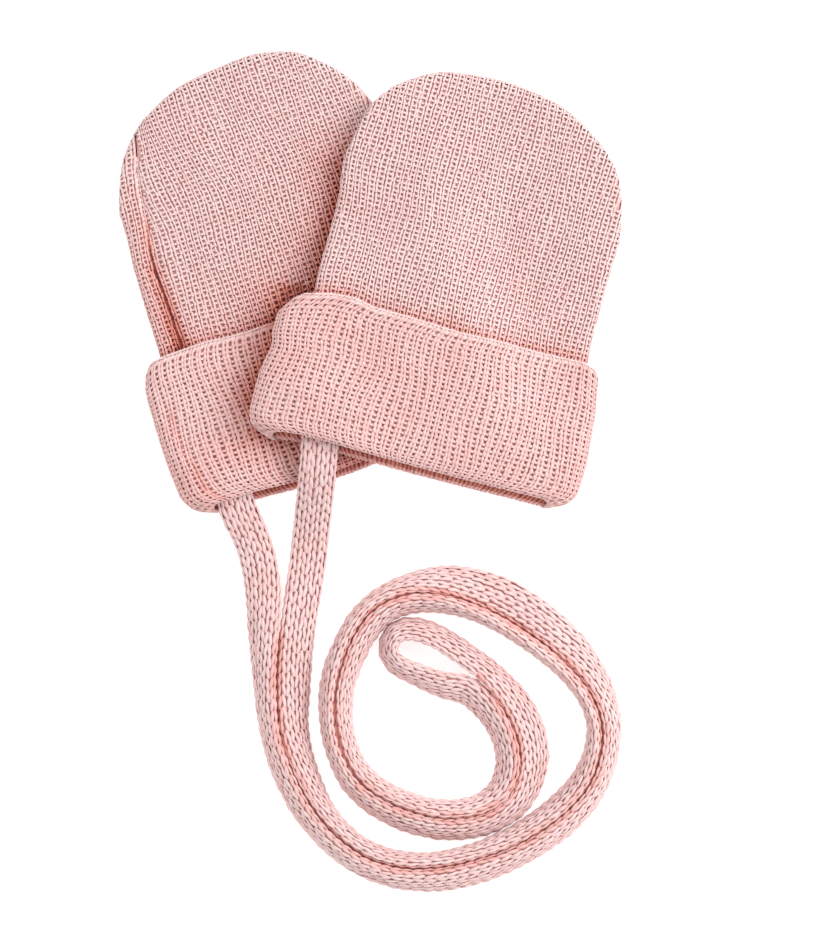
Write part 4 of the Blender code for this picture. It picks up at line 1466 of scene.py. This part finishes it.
@dataclass
class Cord:
    """The flat knitted cord: a core, and the stitches of a narrow tube round it."""

    wales: int = 9
    course: float = 2.75
    leg: Grain = Grain(foot=(0.27, -0.3), head=(0.86, 3.6), half_width=0.58, half_height=0.36,
                       lift=-0.12, dip=0.30, fullness=0.45)
    # painted shade laid evenly over every grain of the cord
    shade_tint: float = 0.05
    stagger: float = 0.45           # by which its wales' stitches are out of step
    core_in: float = 0.5            # of the core inside the cord's outer face
    core_sides: int = 16
    length: float = 785.0

    def __post_init__(self) -> None:
        """Works out where the middle, the width and the thickness point along the cord."""
        line = self.fine_line()
        ahead = np.gradient(line[:, :3], axis=0)
        ahead /= np.linalg.norm(ahead, axis=1)[:, None]
        level = np.hypot(ahead[:, 0], ahead[:, 1])[:, None]
        beside = np.column_stack([ahead[:, 1], -ahead[:, 0], np.zeros(len(line))]) / level
        above = np.cross(beside, ahead)
        above *= np.sign(above[:, 2:3])
        tilt = np.radians(line[:, 3:4])
        self.line: Array = line[:, :3]
        self.run: Array = run_length(self.line)
        self.wide: Array = beside * np.cos(tilt) - above * np.sin(tilt)
        self.thick: Array = beside * np.sin(tilt) + above * np.cos(tilt)
        self.angles: Array = np.linspace(0.0, 2 * np.pi, 721)
        self.ring: Array = run_length(np.column_stack([CORD_WIDTH / 2 * np.cos(self.angles),
                                                       CORD_THICK / 2 * np.sin(self.angles)]))
        lies = np.array([(lie.x, lie.y, 2 * half_height(min(lie.outer_roll, lie.inner_roll)))
                         for lie in DOUBLED])
        at = np.arange(0, len(lies) - 0.99, 0.05)
        self.middle: Array = columns_at(at, np.arange(len(lies)), lies)
        self.split: Array = run_length(self.middle[:, :2])

    def guide(self) -> Array:
        """The route's own points, from mouth to mouth.

        Returns:
            For each the x, y and z of the cord's middle, and its roll.
        """
        strands: dict[int, list[tuple]] = {1: [], -1: []}
        for k, lie in enumerate(DOUBLED):
            before, after = DOUBLED[max(k - 1, 0)], DOUBLED[min(k + 1, len(DOUBLED) - 1)]
            dx, dy = after.x - before.x, after.y - before.y
            size = math.hypot(dx, dy)
            for side, roll in ((1, lie.outer_roll), (-1, lie.inner_roll)):
                a = math.radians(roll)
                wide = math.hypot(CORD_WIDTH / 2 * math.cos(a), CORD_THICK / 2 * math.sin(a))
                shift = side * (wide + STRAND_GAP / 2)
                strands[side].append((lie.x + dy / size * shift, lie.y - dx / size * shift,
                                      half_height(roll), roll))
        left, fold, right = ([(lead.x, lead.y, lead.z + half_height(lead.roll), lead.roll)
                              for lead in leads] for leads in (LEFT_LEAD, FOLD, RIGHT_LEAD[::-1]))
        return np.array(left + strands[1] + fold + strands[-1][::-1] + right)

    def fine_line(self) -> Array:
        """The cord's middle and roll, close together on a smooth curve along the guide.

        Returns:
            Points (x, y, z, roll).
        """
        g = self.guide()
        g = np.vstack([2 * g[0] - g[1], g, 2 * g[-1] - g[-2]])
        f = np.linspace(0.0, 1.0, 12, endpoint=False)[:, None]
        through = np.hstack([-f**3 + 2 * f**2 - f, 3 * f**3 - 5 * f**2 + 2,
                             -3 * f**3 + 4 * f**2 + f, f**3 - f**2]) / 2
        smooth = np.hstack([(1 - f) ** 3, 3 * f**3 - 6 * f**2 + 4,
                            -3 * f**3 + 3 * f**2 + 3 * f + 1, f**3]) / 6
        mixed = TAUT * through + (1 - TAUT) * smooth
        line = np.vstack([mixed @ g[k:k + 4] for k in range(len(g) - 3)] + [g[-2]])
        line[:, 2] = np.maximum(line[:, 2], half_height(line[:, 3]))
        return line

    def skin(self, q: Array, s: Array, out: Array) -> Array:
        """Points of the cord.

        Args:
            q: share of the way round.
            s: length along.
            out: height above its outer face.

        Returns:
            The points, in metres.
        """
        q, s, out = np.broadcast_arrays(q, s, out)
        angle = np.interp(q % 1.0, self.ring / self.ring[-1], self.angles)
        a, b = CORD_WIDTH / 2, CORD_THICK / 2
        cos, sin = np.cos(angle), np.sin(angle)
        size = np.hypot(b * cos, a * sin)
        aside, up = a * cos + out * b * cos / size, b * sin + out * a * sin / size
        at = np.clip(s, 0.0, self.run[-1])
        middle, wide, thick = (columns_at(at, self.run, table)
                               for table in (self.line, self.wide, self.thick))
        points = middle + wide * aside[..., None] + thick * up[..., None]
        return place(points[..., 0], points[..., 1], points[..., 2])

    def between(self, points: Array) -> Array:
        """The painted shade where the cord's two strands lie side by side."""
        table = points[..., :2] / MM + FOOTPRINT_MIDDLE
        away = np.sqrt(((table[..., None, :] - self.middle[:, :2]) ** 2).sum(-1)).min(-1)
        return SHADE_BETWEEN * np.exp(-(away / SHADE_BETWEEN_REACH) ** 2)

    def crevice(self, q: Array, s: Array, out: Array) -> Array:
        """Points of the red-tinted grains laid down between the two strands as a painted shade
        line.

        Args:
            q: distance to the right of the line between them.
            s: length along that line.
            out: height.

        Returns:
            The points, in metres.
        """
        ahead = np.gradient(self.middle[:, :2], axis=0)
        x, y, top, ahead_x, ahead_y = np.moveaxis(
            columns_at(s, self.split, np.hstack([self.middle, ahead])), -1, 0)
        size = np.hypot(ahead_x, ahead_y)
        return place(x + q * ahead_y / size, y - q * ahead_x / size,
                     np.maximum(top - CREVICE_STEP, CREVICE_LOWEST) + out)

    def core_rings(self) -> Array:
        """Rings of points round the core, from one end to the other."""
        s = np.linspace(0.0, self.run[-1], int(2 * self.run[-1] / self.course))
        return self.skin(np.arange(self.core_sides) / self.core_sides, s[:, None], -self.core_in)

    def core(self, rings: Array) -> Object:
        """The smooth core under the stitches, with closed ends.

        Args:
            rings: the rings of points round it.

        Returns:
            The core as an object.
        """
        count, sides = rings.shape[:2]
        points = np.concatenate([rings.reshape(-1, 3), rings[[0, -1]].mean(1)])
        k = np.arange(sides)
        on, last = (k + 1) % sides, (count - 1) * sides
        triangles = np.concatenate([
            quilt(count, sides, False, True),
            np.stack([on, k, np.full_like(k, count * sides)], 1),
            np.stack([last + k, last + on, np.full_like(k, count * sides + 1)], 1)])
        along = np.linspace(0.0, self.run[-1] / self.course, count)
        uv = np.stack(np.meshgrid(np.linspace(0, self.wales, sides), along), -1).reshape(-1, 2)
        uv = np.concatenate([uv, uv[:1], uv[-1:]])
        return make_object("cord_core", points, triangles, uv[triangles].reshape(-1, 2),
                           np.full(len(points), EVEN_TONE),
                           np.clip(INSIDE_DEPTH + self.between(points), 0, 1))

    def knit(self) -> Object:
        """The stitches round the cord and the red painted-shade grains in the line between its
        strands, joined.

        Returns:
            The stitches as an object.
        """
        knitting = Knitting(self.skin, seed=71, loose=0.08)
        steps = np.arange(0.3, self.run[-1] - 1.6 * self.course, self.course)
        wales = np.arange(self.wales)
        over = np.repeat((wales + 0.5) / self.wales, len(steps))
        along = (steps + self.stagger * np.sin(2.4 * wales)[:, None]).ravel()
        shade_amount = self.between(self.skin(over, along, 0.0))
        for mirrored in (False, True):
            knitting.lay(self.leg.mould(mirrored), over, along, 1 / self.ring[-1], shade_amount, self.shade_tint)
        knitting.skin = self.crevice
        steps = np.arange(1.0, self.split[-1] - 2.0, CREVICE_STEP)
        knitting.lay(CREVICE_GRAIN.mould(), np.zeros(len(steps)), steps, 1.0, shade_tint=SHADE_BETWEEN)
        return knitting.join("cord_stitches")

    def dress(self, yarn: bpy.types.Material, ground: bpy.types.Material) -> None:
        """Args:
            yarn: the yarn of its stitches.
            ground: the yarn of its core.
        """
        rings = self.core_rings()
        core, stitches = self.core(rings), self.knit()
        core.data.materials.append(ground)
        stitches.data.materials.append(yarn)
        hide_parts("cord")
        for piece in (core, stitches):
            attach(piece, "root")
        logging.info("cord: %.1f mm, %d and %d faces", self.run[-1], len(core.data.polygons),
                     len(stitches.data.polygons))


# --- the studio ---
class Lamp(NamedTuple):
    """A round area light: where it is, how wide, and its power."""

    name: str
    spot: tuple[float, float, float]
    size: float
    power: float


@dataclass
class Studio:
    """A plain pale floor, soft light and the camera straight above."""

    view_middle: tuple[float, float] = (9.53, -45.15)
    view_height: float = 225.84
    view_level: float = 6.0         # height at which the view is that tall
    distance: float = 1200.0
    floor_colour: tuple[float, float, float] = (0.8, 0.8, 0.8)
    floor_glow: float = 0.6         # of the light table
    sky: float = 0.8                # even light from all round
    lamps: tuple[Lamp, ...] = (Lamp("softbox", (0.72, 0.22, 0.70), 0.55, 7.0),
                               Lamp("fill", (-0.6, 0.3, 0.9), 0.9, 2.0))
    aim: tuple[float, float, float] = (0.0, -0.04, 0.0)

    def camera(self) -> None:
        """Stands the camera over the middle of the picture, looking straight down."""
        spot = (*self.view_middle, self.distance + self.view_level)
        bpy.ops.object.camera_add(location=[x * MM for x in spot], rotation=(0, 0, 0))
        camera = bpy.context.object
        camera.data.sensor_width = 36.0
        camera.data.lens = 36.0 * self.distance / self.view_height
        camera.data.clip_start, camera.data.clip_end = 0.05, 20.0
        bpy.context.scene.camera = camera

    def floor(self) -> None:
        """Lays a wide matt floor just under the mittens."""
        bpy.ops.object.select_all(action="DESELECT")
        bpy.ops.mesh.primitive_plane_add(size=6.0, location=(0, 0, -0.0001))
        floor = bpy.context.object
        floor.name = "floor"
        material = bpy.data.materials.new("floor")
        material.use_nodes = True
        set_inputs(material.node_tree, material.node_tree.nodes["Principled BSDF"], {
            "Base Color": (*self.floor_colour, 1.0), "Roughness": 0.9, "Specular IOR Level": 0.1,
            "Emission Color": (1.0, 1.0, 1.0, 1.0), "Emission Strength": self.floor_glow})
        floor.data.materials.append(material)

    def lights(self) -> None:
        """Even light from all round and a broad softbox above, to the right."""
        world = bpy.data.worlds.new("studio")
        world.use_nodes = True
        set_inputs(world.node_tree, world.node_tree.nodes["Background"],
                   {"Color": (1.0, 1.0, 1.0, 1.0), "Strength": self.sky})
        bpy.context.scene.world = world
        for lamp in self.lamps:
            bpy.ops.object.light_add(type="AREA", location=lamp.spot)
            light = bpy.context.object
            light.name = lamp.name
            light.data.shape = "DISK"
            light.data.size = lamp.size
            light.data.energy = lamp.power
            light.rotation_mode = "QUATERNION"
            towards = Vector(self.aim) - Vector(lamp.spot)
            light.rotation_quaternion = towards.to_track_quat("-Z", "Y")

    def set_up(self) -> None:
        """Places the camera, the floor and the lights, and sets a plain colour transform."""
        self.camera()
        self.floor()
        self.lights()
        bpy.context.scene.view_settings.view_transform = "Standard"


def main() -> None:
    """Builds the studio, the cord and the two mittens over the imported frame."""
    logging.basicConfig(level=logging.INFO, format="%(message)s")
    bpy.ops.object.select_all(action="DESELECT")
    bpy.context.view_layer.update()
    Studio().set_up()
    stitch, ground = STITCH_YARN.material(), GROUND_YARN.material()
    Cord().dress(CORD_YARN.material(), ground)
    for pattern in (LEFT, RIGHT):
        Mitten(pattern).dress(stitch, ground)


if __name__ == "__main__":
    main()
